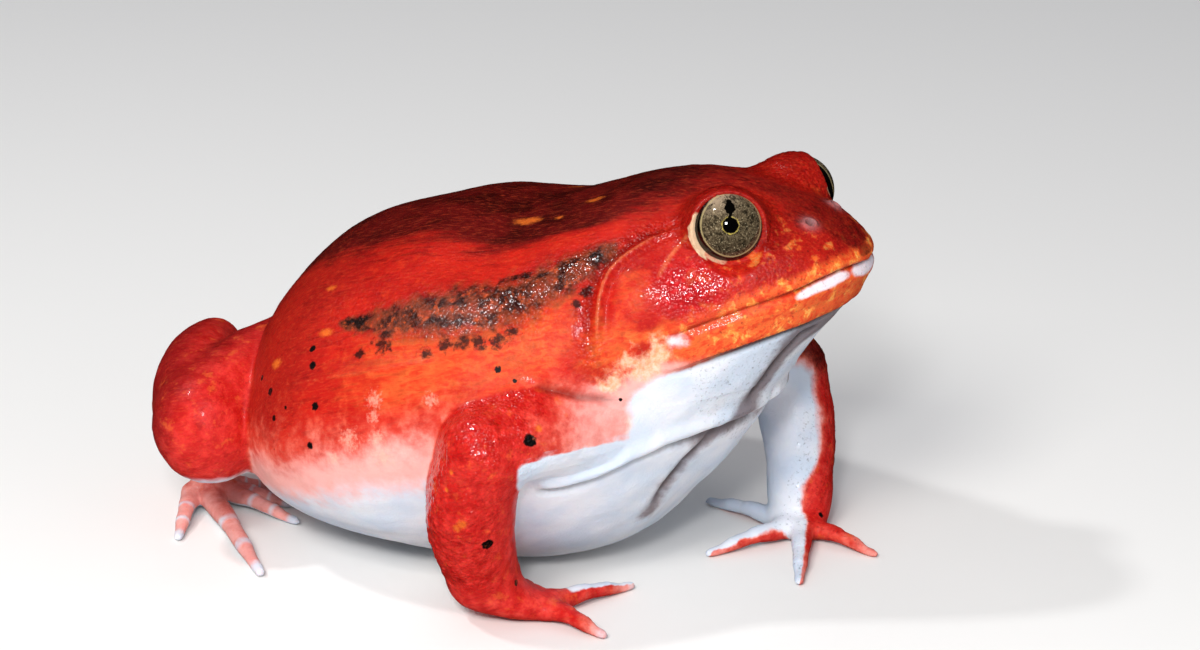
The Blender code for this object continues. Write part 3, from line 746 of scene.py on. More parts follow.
# grain
grain_cells, grain_own = cells(base + 0.22 * np.stack([noise(base, 1.1, k) for k in (41, 42, 43)], 1), 0.78, 3)
cheek_grain = bell(np.linalg.norm((q - (40.0, -16.8, 45.4)) / (1.25, 1, 1.0), axis=1), 4.6)
snout_grain = 0.35 * step(44, 48, x) * step(43, 46, z)
wet = np.clip(bell(np.linalg.norm((q - (19.2, -23.6, 42.4)) / (1.25, 1, 1), axis=1), 3.6) + 0.75 * bell(np.linalg.norm(q - (24.6, -18.8, 46.8), axis=1), 2.6), 0, 1)
patch_grain = step(-0.25, 0.3, patch_in) * step(-3, 6, x) * (0.42 + 0.58 * wet)
patch_grain = np.maximum(patch_grain, wet * (trunk > 0.5))
above_fold = step(-0.3, 0.4, armf_up) * (armf_d < 8) * step(23.6, 25.6, x) * (y < 0)
arm_c = arm_r * (1 - above_fold)
arm_out = arm_c * step(-0.2, 0.5, normal @ np.array((-0.2, -0.9, 0.3))) + arm_l * step(-0.1, 0.6, normal @ np.array((0.5, 0.8, 0.2)))
arm_grain = arm_out * step(3, 8, z) * (1 - 0.85 * step(22, 28, x) * (y < 0)) * 0.95
back_grain = 0.35 * trunk * step(0.3, 0.7, height) * (1 - head_on)
fold_grain = 0.8 * bell(tym_back, 2.2) * (trunk > 0.5)
grain = np.clip(np.maximum.reduce([cheek_grain, snout_grain, patch_grain, arm_grain, back_grain, fold_grain, 0.75 * lid]), 0, 1)
grain *= (1 - by_eye) * (1 - bell(nos_d, 1.0)) * (1 - bell(mouth_d, 0.7)) * step(-0.5, 0.4, height * trunk + limb)
bead = np.maximum(1 - (grain_cells / 0.62) ** 2, 0) * (0.55 + 0.9 * (grain_own - 0.3))
lift += 0.15 * bead * np.maximum.reduce([grain, 1.5 * wet * (grain > 0.1), 1.3 * arm_grain])

# joints of the digits
band = np.zeros(count)
tip = np.zeros(count)
digit = np.zeros(count)
digit_t = np.zeros(count)
for table in (RIGHT_FINGERS, LEFT_FINGERS, RIGHT_TOES, LEFT_TOES):
    for r in table:
        d, t, _ = beside(base, [(r[0], r[1], 1.5), (r[2], r[3], 0.8)], 4.0)
        on = step(2.9, 1.5, d)
        digit_t = np.where(on > digit, t, digit_t)
        digit = np.maximum(digit, on)
        band = np.maximum(band, on * (bell(t - 0.42, 0.05) + bell(t - 0.7, 0.05)))
        tip = np.maximum(tip, on * step(0.80, 0.98, t))
        lift -= on * 0.06 * (bell(t - 0.36, 0.02) + bell(t - 0.48, 0.02) + bell(t - 0.65, 0.018) + bell(t - 0.75, 0.018)) * (z > 0.5)

lift *= step(0.15, 1.2, z)
moved = base + normal * lift[:, None]
moved = relax(moved, edge_list, 1, 0.35)
moved[:, 2] = np.where(moved[:, 2] < 0.25, np.maximum(moved[:, 2], 0.0), moved[:, 2])

# ---------------------------------------------------------------- where each colour lies, from 0 to 1
pale_z = np.interp(x, [-34, -24, -12, 0, 10, 20, 26, 30, 33, 37, 40, 45, 50, 53, 56], [6.9, 8.7, 12.1, 16.9, 19.3, 22, 25.5, 28.5, 31.2, 34.0, 35.2, 37.2, 39.0, 40.0, 41.6])
pale_w = np.interp(x, [14, 30, 40], [6.5, 3.0, 0.8])
wander = 2.2 * noise(base, 6, 51, 3) * np.interp(x, [20, 42], [1, 0.12])
root_d = beside(base, [(28.5, -19.5, 27.0), (23.6, -25.0, 27.0)], 14.0)[0]
shoulder_on = step(8.4, 6.2, root_d + 0.9 * noise(base, 3.0, 79, 2)) * (y < 0) * step(21.0, 24.5, z) * step(21.5, 17.8, 0.883 * x + 0.469 * y + 0.8 * noise(base, 2.6, 83, 2))
pale = np.maximum(trunk_wide, arm_r * above_fold) * step(1, -1, (z + wander - pale_z) / pale_w) * (1 - 0.95 * shoulder_on)
pale = np.maximum(pale, arm_c * (1 - shoulder_on) * step(25.5, 29.0, x) * step(14.0, 18.0, z))
pink = trunk * bell(np.clip((z + wander - pale_z - 0.8) / (pale_w * 1.25), -9, 9), 1.0) * step(46, 36, x)
pink = np.maximum(pink, step(20.0, 33.0, x + 1.5 * noise(base, 3.5, 77, 2)) * step(0.0, 0.3, shoulder_on) * step(36.0, 33.0, z) * 0.82)
pink = np.maximum(pink, np.maximum(arm_r * above_fold, trunk * bell(armf_d, 4.5) * step(20, 27, x) * (armf_up > -0.5)) * step(37.5, 31.0, z) * 0.7)
peach = spot_value(q, [(38.2, -18.3, 32.8, 2.6), (35.2, -21.0, 35.6, 3.2), (37.9, -15.0, 26.0, 1.6), (41.8, -11.3, 28.2, 1.4), (34.1, -20.5, 27.5, 2.0),
                       (32.0, -23.0, 34.0, 2.6), (36.8, -19.4, 38.0, 2.2)])
# darker towards the top of the back and head
dark_top_and_painted_shadow = trunk * step(0.82, 0.985, height + 0.07 * noise(along, 3, 61, 3)) * (1 - 0.45 * head_on) * (1 - 0.8 * lid)
dark_top_and_painted_shadow += 0.7 * trunk * bell(x - 16, 13) * step(0.85, 0.99, height + 0.08 * noise(along, 4, 65, 2))
side_line = step(0.0, 0.35, height) * step(0.92, 0.5, height)
orange = trunk * side_line * step(-14, 8, x) * 0.62 * (1 - head_on)
orange = np.maximum(orange, 0.5 * tympanum * step(0.2, 0.7, tympanum + 0.2))
jaw_band = step(-3.0, -1.4, -mouth_up) * step(7.0, 4.5, -mouth_up) * (mouth_d < 8) * (jaw_up > -0.8) * (x > 34)
lip_band = bell(mouth_up - 1.0, 1.1) * (mouth_up > -0.4) * (mouth_d < 5)
orange = np.maximum(orange, np.maximum(0.95 * step(6.2, 0.3, np.abs(mouth_up + 2.6)) * (mouth_d < 8) * step(33, 38, x), 0.85 * lip_band))
orange = np.maximum(orange, 0.75 * bell(np.linalg.norm(q - (31.5, -23.2, 38.0), axis=1), 5.0))
jaw_low = (jaw_up > -0.4) & (x > 33)
patch = np.clip(patch_in + 0.12, -1, 1)
spot = np.maximum.reduce([spot_value(q, SPOTS) * (x < 40), spot_value(q, ARM_SPOTS), spot_value(base, FAR_ARM_SPOTS)])
flank = np.array((0.86, -0.2, 0.30))
flank /= np.linalg.norm(flank)
blotch = spot_value(q, BLOTCHES, (flank, 1.45))
fleck = np.maximum(spot_value(q, FLECKS, (flank, 1.9)), spot_value(q, ARM_FLECKS))
mottle = spot_value(q, PALES)
line = np.maximum.reduce([
    bell(tym_d, 0.34) * ends(tym_t, 0.35, 0.25) * 1.0,
    bell(cheek_d, 0.5) * ends(cheek_t, 0.05, 0.2),
    bell(lat_d, 0.42) * ends(lat_t, 0.3, 0.3) * trunk * 0.6,
])
rear_low = np.stack([np.full(count, -0.95), np.where(y < 0, -0.25, 0.25), np.full(count, -0.36)], 1)
rear_low -= eye_a * (rear_low * eye_a).sum(1)[:, None]
rear_low /= np.linalg.norm(rear_low, axis=1)[:, None]
toward_rear = ((eye_d * rear_low).sum(1)) / np.maximum(eye_r, 0.1)
lid_edge = step(0.66, 0.97, toward_rear + 0.12 * noise(base, 0.8, 81, 2)) * step(5.35, 5.0, eye_r + 0.35 * step(0.0, 1.6, eye_d[:, 2])) * (eye_h > -0.5) * (eye_r > 3.9)
ahead_low = eye_d @ np.array((0.95, -0.28, 0.02)) / np.maximum(np.linalg.norm(eye_d, axis=1), 0.1)
lid_edge = np.maximum(lid_edge, 0.95 * (y > 0) * step(0.93, 0.98, ahead_low) * step(5.2, 4.9, eye_r) * (eye_r > 3.9))
lid_edge = np.maximum(lid_edge, 0.5 * step(0.1, 0.5, toward_rear) * step(4.98, 4.75, eye_r) * (eye_h > 0.4) * step(1.8, 0.2, eye_d[:, 2]) * (eye_r > 3.9))
lip_white = bell((mouth_up + 0.85) / np.interp(mouth_t, [0, 0.12, 0.25, 0.44], [1.25, 0.75, 0.85, 0.5]), 1.0) * np.interp(mouth_t, [0, 0.09, 0.13, 0.18, 0.37, 0.46], [1, 1, 0.5, 0.95, 0.95, 0]) * (mouth_d < 3)
lip_white += 0.7 * bell(np.linalg.norm((q - (39.4, -18.9, 39.0)) / (1.5, 1, 0.8), axis=1), 1.9)
# painted shade in the creases: mouth slit, below the jaw edge, arm fold, nostril pit, throat, chest and pectoral folds,
# behind the tympanic fold
crease_shade = np.maximum.reduce([
    bell(mouth_d, 0.24) * m * np.interp(mouth_t, [0, 0.3, 0.5], [0.9, 0.75, 0.3]),
    1.7 * bell(jaw_d - 0.35, 0.55) * (jaw_up < 0.3) * step(0.95, 0.35, jaw_t) * j,
    0.6 * bell(armf_d, 0.4) * ends(armf_t, 0.15, 0.3),
    1.0 * bell(nos_d, 0.44),
    0.9 * bell(throat_d, 0.7) * ends(throat_t, 0.1, 0.2),
    0.75 * bell(chest_d, 0.6) * ends(chest_t, 0.1, 0.3),
    0.7 * bell(pec_low, 0.45) * (pec_d < 4) * ends(pec_t, 0.06, 0.1) * trunk_wide,
    0.5 * bell(tym_back, 0.4) * ends(tym_t, 0.15, 0.4),
])
# painted shade under the front of the jaw and along the throat, chest and pectoral folds, with some dirt in the folds
dirt_and_painted_shade = 1.0 * bell(throat_d, 2.2) + 0.7 * bell(chest_d, 1.8) + 0.55 * bell(pec_low, 1.2) * (pec_d < 5) * step(0.3, 0.7, pec_t) + 0.95 * bell(jaw_up + 2.2, 2.0) * (jaw_d < 7) * step(0.55, 0.12, jaw_t)
dirt_and_painted_shade = np.clip(dirt_and_painted_shade, 0, 1) * trunk
image_up = np.array((-0.164, 0.309, 0.937))
inner_r = step(0.12, 0.42, arm_r) * step(0.30, 0.62, -(normal @ image_up) + 0.06 * noise(base, 2.5, 73, 2)) * step(16.5, 19.5, z) * step(4.4, 5.8, 0.883 * x + 0.469 * y)
inner_l = arm_l * step(-0.80, -0.20, normal @ np.array((-0.86, -0.5, 0.0)) + 0.16 * noise(base, 3, 71, 3) - 0.62 * step(11, 6, z) * step(-0.55, -0.15, normal @ np.array((-0.86, -0.5, 0.0)) * -1)) * step(26, 21, z + 0.3 * (x - 34)) * step(3.0, 5.5, z)
under_leg = np.maximum(leg_r, leg_l) * step(0.25, 0.8, -normal[:, 2]) * step(15, 9, z)
legs = np.maximum(leg_r, leg_l)
thigh_z = z + 1.2 * noise(base, 3.0, 85, 2)
thigh_white = leg_r * step(10.0, 7.0, thigh_z) * step(-38.0, -34.0, 0.883 * x + 0.469 * y) * step(3.6, 5.0, z)
digit_white = np.clip(0.6 * band + 0.7 * tip, 0, 1) * digit * legs + 0.45 * tip * arm_r
thumb = step(2.4, 1.5, beside(base, [(25.0, -20.0, 1.6), (29.2, -11.6, 0.8)], 4)[0]) * arm_r
digit_white = np.maximum(digit_white, 0.85 * thumb * step(0.35, 0.8, normal @ image_up))
outer = step(2.4, 1.5, beside(base, [(46.0, 14.4, 1.5), (54.3, 12.6, 0.8)], 4)[0])
far_hand = arm_l * step(9.0, 5.5, z) * (1 - outer) * step(-0.45, 0.25, normal @ np.array((-0.85, -0.45, 0.25)) + 0.18 * noise(base, 1.8, 75, 2) - 0.5 * step(41.5, 44.0, x) * step(12, 15, y))
limb_pale = np.clip(np.maximum.reduce([inner_r, inner_l, under_leg, digit_white, far_hand, 0.85 * thigh_white]), 0, 1)
low_limb = step(7, 2, z)
hand_pink = legs * low_limb * (0.35 + 0.45 * digit) + arm_r * (0.15 * low_limb + 0.6 * digit * step(0.45, 1.0, digit_t)) + arm_l * (0.2 * low_limb + 0.45 * digit * step(0.3, 1.0, digit_t))
hand_pink = np.maximum(hand_pink, 0.75 * arm_l * bell(np.maximum(inner_l, far_hand) - 0.45, 0.32) * (z < 24))
hand_pink = np.maximum(hand_pink, 0.62 * leg_r * step(13.0, 6.5, thigh_z) * step(-48.0, -40.0, 0.883 * x + 0.469 * y))
# painted shadow: the top of the far arm under the jaw is darkened on the side that faces the camera
dark_top_and_painted_shadow = np.maximum(dark_top_and_painted_shadow, 0.75 * arm_l * step(19.5, 24.0, z + 0.25 * (x - 34)) * step(-0.1, 0.35, normal @ np.array((0.44, -0.83, 0.35))))

MASKS = {
    "pale": np.maximum(pale, limb_pale), "pink": np.clip(pink + hand_pink, 0, 1), "dark_top_and_painted_shadow": np.clip(dark_top_and_painted_shadow, 0, 1), "orange": np.clip(orange, 0, 1), "patch": patch,
    "spot": spot, "blotch": blotch, "fleck": fleck, "mottle": mottle, "peach": peach, "line": np.clip(line, 0, 1), "lip_white": np.clip(lip_white, 0, 1),
    "crease_shade": np.clip(crease_shade, 0, 1), "dirt_and_painted_shade": dirt_and_painted_shade, "grain": grain, "limb": np.maximum.reduce([arm_c, arm_l, leg_r, leg_l]), "snout": step(36, 41, x) * step(54.0, 51.0, z) * trunk * step(33, 36, z), "wet": np.clip(wet + cheek_grain + 0.5 * fold_grain + 0.6 * lid + 0.9 * arm_grain, 0, 1), "head": head_on, "lid_edge": lid_edge, "cheek": cheek_grain, "lid": np.clip(lid * 0.8 + step(50.5, 54, z) * head_on * 0.4 + 0.55 * step(46, 50, x) * step(46.5, 50, z), 0, 1),
    "rump": trunk * step(4, -20, x) * step(-0.2, 0.25, height), "leg_rear": np.maximum(leg_r, leg_l) * step(-0.1, 0.75, normal @ np.array((-0.95, -0.1, 0.3))), "nostril": bell(nos_d, 1.0),
}
place = np.stack([x, y, z], 1)

put_points(mesh, (moved - ORIGIN) * SCALE)
for name, value in MASKS.items():
    mesh.attributes.new(name, "FLOAT", "POINT").data.foreach_set("value", np.clip(value, -1, 1).astype(np.float32))
mesh.attributes.new("place", "FLOAT_VECTOR", "POINT").data.foreach_set("vector", place.astype(np.float32).ravel())
mesh.attributes.new("flow", "FLOAT_VECTOR", "POINT").data.foreach_set("vector", along.astype(np.float32).ravel())
mesh.polygons.foreach_set("use_smooth", np.ones(len(mesh.polygons), bool))
mesh.update()


# ---------------------------------------------------------------- node materials
def colour(code):
    """Linear colour of a six-digit code."""
    v = [int(code[i : i + 2], 16) / 255 for i in (0, 2, 4)]
    return tuple(c / 12.92 if c <= 0.04045 else ((c + 0.055) / 1.055) ** 2.4 for c in v) + (1.0,)


class Paint:
    """Short names for the nodes of one material."""

    def __init__(self, name):
        self.material = bpy.data.materials.new(name)
        self.material.use_nodes = True
        self.tree = self.material.node_tree
        self.tree.nodes.clear()
        self.out = self.tree.nodes.new("ShaderNodeOutputMaterial")

    def node(self, kind, **settings):
        n = self.tree.nodes.new("ShaderNode" + kind)
        for k, v in settings.items():
            setattr(n, k, v)
        return n

    def put(self, socket, value):
        if isinstance(value, bpy.types.NodeSocket):
            self.tree.links.new(value, socket)
        elif value is not None:
            socket.default_value = value

    def mask(self, name):
        return self.node("Attribute", attribute_type="GEOMETRY", attribute_name=name).outputs["Fac"]

    def vector(self, name):
        return self.node("Attribute", attribute_type="GEOMETRY", attribute_name=name).outputs["Vector"]

    def math(self, kind, a, b=None, clamp=False):
        n = self.node("Math", operation=kind, use_clamp=clamp)
        self.put(n.inputs[0], a)
        self.put(n.inputs[1], b)
        return n.outputs[0]

    def noise(self, at, size, detail=2.0, rough=0.5, bend=0.0):
        n = self.node("TexNoise", noise_dimensions="3D")
        self.put(n.inputs["Vector"], at)
        n.inputs["Scale"].default_value = 1.0 / size
        n.inputs["Detail"].default_value = detail
        n.inputs["Roughness"].default_value = rough
        n.inputs["Distortion"].default_value = bend
        return n.outputs["Fac"]

    def cells(self, at, size, feature="F1", spread=1.0):
        n = self.node("TexVoronoi", voronoi_dimensions="3D", feature=feature)
        self.put(n.inputs["Vector"], at)
        n.inputs["Scale"].default_value = 1.0 / size
        n.inputs["Randomness"].default_value = spread
        return n.outputs["Distance"]

    def between(self, value, low, high, a=0.0, b=1.0):
        n = self.node("MapRange", interpolation_type="SMOOTHSTEP", clamp=True)
        self.put(n.inputs["Value"], value)
        for k, v in (("From Min", low), ("From Max", high), ("To Min", a), ("To Max", b)):
            n.inputs[k].default_value = v
        return n.outputs["Result"]

    def ragged(self, value, rough, amount, low, high):
        """A mask whose edge wanders with a noise."""
        shift = self.math("MULTIPLY", self.math("SUBTRACT", rough, 0.5), amount)
        return self.between(self.math("ADD", value, shift), low, high)

    def mix(self, share, a, b, kind="MIX"):
        n = self.node("Mix", data_type="RGBA", blend_type=kind, clamp_factor=True)
        self.put(n.inputs[0], share)
        self.put(n.inputs[6], a)
        self.put(n.inputs[7], b)
        return n.outputs[2]

    def times(self, *values):
        out = values[0]
        for v in values[1:]:
            out = self.math("MULTIPLY", out, v)
        return out

    def shader(self, **inputs):
        n = self.node("BsdfPrincipled")
        for k, v in inputs.items():
            self.put(n.inputs[k.replace("_", " ")], v)
        self.tree.links.new(n.outputs["BSDF"], self.out.inputs["Surface"])
        return n


def skin_material():
    p = Paint("wet frog skin")
    at, flow = p.vector("place"), p.vector("flow")
    wide, mid, fine = p.noise(at, 7.0, 3.0), p.noise(at, 1.7, 4.0, 0.6), p.noise(at, 0.45, 3.0, 0.6)
    streak = p.noise(flow, 0.75, 5.0, 0.65, 0.4)
    thin = p.noise(flow, 0.28, 3.0, 0.6)
    head, limb = p.mask("head"), p.mask("limb")

    c = p.mix(p.between(wide, 0.3, 0.7), colour("A90E08"), colour("C41C0B"))
    c = p.mix(p.times(p.between(mid, 0.52, 0.72), 0.45), c, colour("D43512"))
    c = p.mix(p.times(limb, 0.85), c, p.mix(p.between(mid, 0.35, 0.7), colour("B81210"), colour("D8302A")))
    c = p.mix(p.times(p.mask("leg_rear"), 0.72), c, colour("74060A"))
    c = p.mix(p.times(p.ragged(p.mask("rump"), streak, 0.5, 0.15, 0.85), 0.55), c, colour("86140D"))
    c = p.mix(p.times(p.mask("snout"), p.between(mid, 0.62, 0.42), 0.45), c, colour("92100A"))
    c = p.mix(p.times(p.mask("lid"), 0.55), c, colour("7E0A07"))
    c = p.mix(p.ragged(p.mask("orange"), mid, 0.7, 0.15, 0.95), c, p.mix(p.between(streak, 0.38, 0.66), colour("D6421A"), colour("E97332")))
    # darker top of the back and head, and painted shadow on the top of the far arm
    c = p.mix(p.times(p.ragged(p.mask("dark_top_and_painted_shadow"), streak, 0.7, 0.10, 0.85), 0.93), c, p.mix(p.between(wide, 0.35, 0.6), colour("250504"), colour("560A09")))
    c = p.mix(p.times(p.between(streak, 0.50, 0.66), 0.55), c, p.mix(1.0, c, colour("C98A7A"), "MULTIPLY"))
    c = p.mix(p.times(p.between(streak, 0.50, 0.34), 0.35), c, p.mix(1.0, c, colour("F0C0A8"), "MULTIPLY"))
    c = p.mix(p.times(p.between(thin, 0.5, 0.68), 0.20), c, colour("E2522A"))
    # yellow-orange flecks scattered over snout and jaw
    freckle = p.times(p.mask("snout"), p.between(p.mask("orange"), 0.02, 0.5, 0.45, 1.0), p.between(p.noise(at, 1.7, 3.0, 0.58, 0.15), 0.52, 0.68))
    c = p.mix(p.times(freckle, p.between(p.mask("dark_top_and_painted_shadow"), 0.6, 0.1), 0.78), c, p.mix(p.between(fine, 0.4, 0.6), colour("EC7E2A"), colour("F6B65A")))
    c = p.mix(p.times(p.ragged(p.mask("cheek"), mid, 0.6, 0.15, 0.8), 0.7), c, colour("C2121C"))
    # flank fading through pink and pale mottles to white
    rosy = p.ragged(p.mask("pink"), mid, 0.5, 0.35, 1.0)
    c = p.mix(p.times(p.ragged(p.mask("pink"), mid, 0.6, 0.08, 0.7), 0.85), c, p.mix(rosy, p.mix(p.between(mid, 0.35, 0.7), colour("D24E3C"), colour("E2705A")), colour("F3B4AC")))
    c = p.mix(p.times(p.ragged(p.mask("mottle"), fine, 3.0, -0.1, 1.1), 0.5), c, colour("F2AE98"))
    c = p.mix(p.times(p.ragged(p.mask("peach"), mid, 2.4, 0.0, 0.8), 0.7), c, p.mix(p.between(fine, 0.35, 0.65), colour("F2AE80"), colour("F6D0B2")))
    white = p.mix(p.between(wide, 0.35, 0.65), colour("C6D0DE"), colour("D9DBE2"))
    c = p.mix(p.ragged(p.mask("pale"), mid, 0.45, 0.25, 0.78), c, white)
    # painted shade under the jaw and in the folds, partly dirt
    c = p.mix(p.times(p.ragged(p.mask("dirt_and_painted_shade"), mid, 0.8, 0.1, 0.8), 0.78), c, colour("5E4444"))
    # dark patch with orange showing through it, and black blotches
    bars = p.node("Mapping", vector_type="POINT")
    bars.inputs["Scale"].default_value = (0.75, 0.75, 0.75)
    p.put(bars.inputs["Vector"], at)
    bar = p.noise(bars.outputs[0], 1.5, 5.0, 0.62, 0.5)
    patch = p.ragged(p.mask("patch"), mid, 1.5, -0.05, 0.75)
    brown = p.mix(p.between(bar, 0.38, 0.58), colour("260F0A"), colour("7A341C"))
    brown = p.mix(p.times(p.between(p.noise(at, 1.0, 4.0, 0.65), 0.54, 0.66), 0.75), brown, colour("BE4E22"))
    c = p.mix(p.times(patch, p.between(bar, 0.72, 0.52, 0.6, 0.97)), c, brown)
    c = p.mix(p.times(p.ragged(p.mask("blotch"), p.noise(at, 0.9, 4.0, 0.65), 2.8, 0.05, 0.8), 0.9), c, colour("0F0706"))
    c = p.mix(p.times(p.ragged(p.mask("fleck"), fine, 0.9, 0.05, 0.8), 0.8), c, colour("DE6A1E"))
    c = p.mix(p.times(p.ragged(p.mask("line"), fine, 0.7, 0.35, 1.15), 0.34), c, colour("F0925A"))
    c = p.mix(p.times(p.ragged(p.mask("lid_edge"), fine, 0.5, 0.25, 0.7), 0.85), c, colour("D9BC98"))
    c = p.mix(p.times(p.ragged(p.mask("lip_white"), mid, 0.7, 0.35, 0.8), 0.88), c, colour("E2DEE6"))
    c = p.mix(p.times(p.mask("nostril"), 0.6), c, colour("B79494"))
    # painted shade in the creases
    c = p.mix(p.times(p.mask("crease_shade"), 0.85), c, p.mix(p.between(p.mask("pale"), 0.3, 0.8), colour("3A0806"), colour("2C1A16")))
    c = p.mix(p.ragged(p.mask("spot"), fine, 0.7, 0.02, 0.3), c, colour("0D0808"))
    grain = p.mask("grain")
    c = p.mix(p.times(limb, p.between(p.noise(at, 1.9, 3.0, 0.6, 0.2), 0.58, 0.72), p.between(p.mask("pale"), 0.5, 0.1), 0.35), c, colour("E2672A"))
    c = p.mix(p.times(grain, p.between(p.cells(at, 0.75), 0.25, 0.6), p.between(p.mask("pale"), 0.5, 0.1), p.between(limb, 0.0, 1.0, 0.4, 0.22)), c, p.mix(1.0, c, colour("8C3A34"), "MULTIPLY"))

    small = p.math("SUBTRACT", 1.0, p.cells(at, 0.42))
    relief = p.math("ADD", p.times(small, p.between(grain, 0.0, 1.0, 0.16, 1.1)), p.times(fine, 0.35))
    relief = p.math("ADD", relief, p.times(thin, 0.30))
    bump = p.node("Bump")
    bump.inputs["Strength"].default_value = 0.55
    bump.inputs["Distance"].default_value = 0.00022
    p.put(bump.inputs["Height"], relief)
    film = p.node("Bump")
    film.inputs["Strength"].default_value = 0.4
    film.inputs["Distance"].default_value = 0.00011
    p.put(film.inputs["Height"], p.math("ADD", p.times(small, p.between(grain, 0.0, 1.0, 0.3, 1.0)), p.times(mid, 0.4)))
    p.shader(
        Base_Color=c, Roughness=p.between(grain, 0.0, 1.0, 0.46, 0.30), IOR=1.4, Specular_IOR_Level=0.35,
        Subsurface_Weight=0.12, Subsurface_Radius=(1.0, 0.30, 0.16), Subsurface_Scale=0.0012,
        Coat_Weight=p.between(p.mask("wet"), 0.0, 1.0, 0.14, 0.9), Coat_Roughness=0.10, Coat_IOR=1.36, Normal=bump.outputs["Normal"], Coat_Normal=film.outputs["Normal"],
    )
    return p.material


def eye_material():
    """Bronze iris with dark speckles, black rim, and a pupil like a keyhole in a gold ring."""
    p = Paint("frog eye")
    across, up = p.mask("across"), p.math("SUBTRACT", p.mask("up"), 0.3)
    at = p.vector("place")
    out2 = p.math("ADD", p.times(across, across), p.times(up, up))
    r = p.math("SQRT", out2)
    angle = p.math("ARCTAN2", across, up)
    ray = p.node("CombineXYZ")
    p.put(ray.inputs[0], p.math("MULTIPLY", angle, 3.0))
    p.put(ray.inputs[1], p.math("MULTIPLY", r, 0.8))
    veins = p.noise(ray.outputs[0], 0.32, 4.0, 0.6, 0.5)
    speck = p.noise(at, 0.30, 4.0, 0.7, 0.8)
    bronze = p.mix(p.between(veins, 0.34, 0.7), colour("332A1E"), colour("6C5E47"))
    cream = p.times(p.between(up, 0.6, 4.2), p.between(across, 2.6, -2.4))
    bronze = p.mix(p.times(cream, 0.88), bronze, colour("B39A80"))
    bronze = p.mix(p.times(p.between(up, 0.8, -4.0), 0.55), bronze, colour("2A2118"))
    blot = p.noise(at, 0.8, 2.5, 0.55, 0.7)
    bronze = p.mix(p.times(p.between(blot, 0.54, 0.61), 0.78), bronze, colour("17130C"))
    bronze = p.mix(p.times(p.between(speck, 0.55, 0.64), 0.75), bronze, colour("1A160E"))
    bronze = p.mix(p.times(p.between(p.noise(at, 0.21, 2.0), 0.60, 0.70), 0.5), bronze, colour("BFAF8C"))
    # gold ring round the pupil
    wob = p.math("MULTIPLY", p.math("SUBTRACT", p.noise(at, 0.45, 2.0), 0.5), 0.26)
    rr = p.math("ADD", r, wob)
    ring = p.times(p.between(rr, 0.98, 1.04), p.between(rr, 1.22, 1.10))
    c = p.mix(p.times(ring, p.between(speck, 0.35, 0.6), 0.8), bronze, colour("B09C48"))
    # outer edge: thin pale gold, then the black rim, widened by painted shade at the back, and at the front on the far
    # eye
    edge = p.math("ADD", r, p.mask("rim"))
    c = p.mix(p.times(p.between(edge, 3.88, 4.0), p.between(edge, 4.16, 4.06), 0.6), c, colour("B5A272"))
    c = p.mix(p.between(edge, 4.14, 4.24), c, colour("060504"))
    # pupil and the notch above it
    c = p.mix(p.between(rr, 1.04, 0.95), c, colour("030303"))
    side = p.math("ABSOLUTE", p.math("ADD", across, p.math("MULTIPLY", p.math("SUBTRACT", p.noise(at, 0.42, 3.0), 0.5), 0.75)))
    width = p.math("ADD", 0.20, p.times(p.between(up, 1.35, 2.1), p.between(up, 3.3, 2.2), 0.52))
    notch = p.times(p.between(p.math("SUBTRACT", side, width), 0.08, -0.02), p.between(up, 0.5, 0.7), p.between(up, 3.35, 3.15))
    c = p.mix(notch, c, colour("050403"))
    p.shader(Base_Color=c, Roughness=0.5, IOR=1.38, Specular_IOR_Level=0.0, Coat_Weight=1.0, Coat_Roughness=0.015, Coat_IOR=1.38)
    return p.material


skin = bpy.data.objects.new("frog_skin", mesh)
bpy.context.scene.collection.objects.link(skin)
mesh.materials.append(skin_material())


def make_eye(name, side):
    """A ball whose pole is the middle of the pupil; only the part by the lids shows."""
    c, a = eye_frame(side)
    up = np.array((0, 0, 1.0)) - a * a[2]
    up /= np.linalg.norm(up)
    ahead = np.cross(up, a) * (-side)
    if ahead[0] < 0:
        ahead = -ahead
    rings, steps, radius = 72, 128, EYE_RADIUS
    points, places, faces = [], [], []
    for i in range(rings + 1):
        polar = math.pi * i / rings
        k = 1 if i in (0, rings) else steps
        for j in range(k):
            turn = 2 * math.pi * j / steps
            u, v, w = math.sin(polar) * math.cos(turn), math.sin(polar) * math.sin(turn), math.cos(polar)
            points.append(c + radius * (u * ahead + v * up + w * a))
            places.append((u * radius, v * radius, w * radius))
    for j in range(steps):
        n = (j + 1) % steps
        faces.append((0, 1 + j, 1 + n))
        last = len(points) - 1
        s0 = last - steps
        faces.append((last, s0 + n, s0 + j))
        for i in range(rings - 2):
            s = 1 + i * steps
            faces.append((s + j, s + steps + j, s + steps + n, s + n))
    if np.dot(np.cross(ahead, up), a) < 0:
        faces = [f[::-1] for f in faces]
    ball = bpy.data.meshes.new(name)
    ball.from_pydata([tuple((q_ - ORIGIN) * SCALE) for q_ in points], [], faces)
    places = np.array(places, np.float32)
    ball.attributes.new("across", "FLOAT", "POINT").data.foreach_set("value", places[:, 0].copy())
    # painted shade: how far the black rim is widened, at the back of each eye and at the front of the far eye
    rim = 0.42 * step(0.6, -4.2, places[:, 0]) + (0.95 * step(1.2, 3.0, places[:, 0]) if side > 0 else 0.0)
    ball.attributes.new("rim", "FLOAT", "POINT").data.foreach_set("value", rim.astype(np.float32))
    ball.attributes.new("up", "FLOAT", "POINT").data.foreach_set("value", places[:, 1].copy())
    ball.attributes.new("place", "FLOAT_VECTOR", "POINT").data.foreach_set("vector", places.ravel())
    ball.polygons.foreach_set("use_smooth", np.ones(len(ball.polygons), bool))
    ball.update()
    obj = bpy.data.objects.new(name, ball)
    bpy.context.scene.collection.objects.link(obj)
    return obj


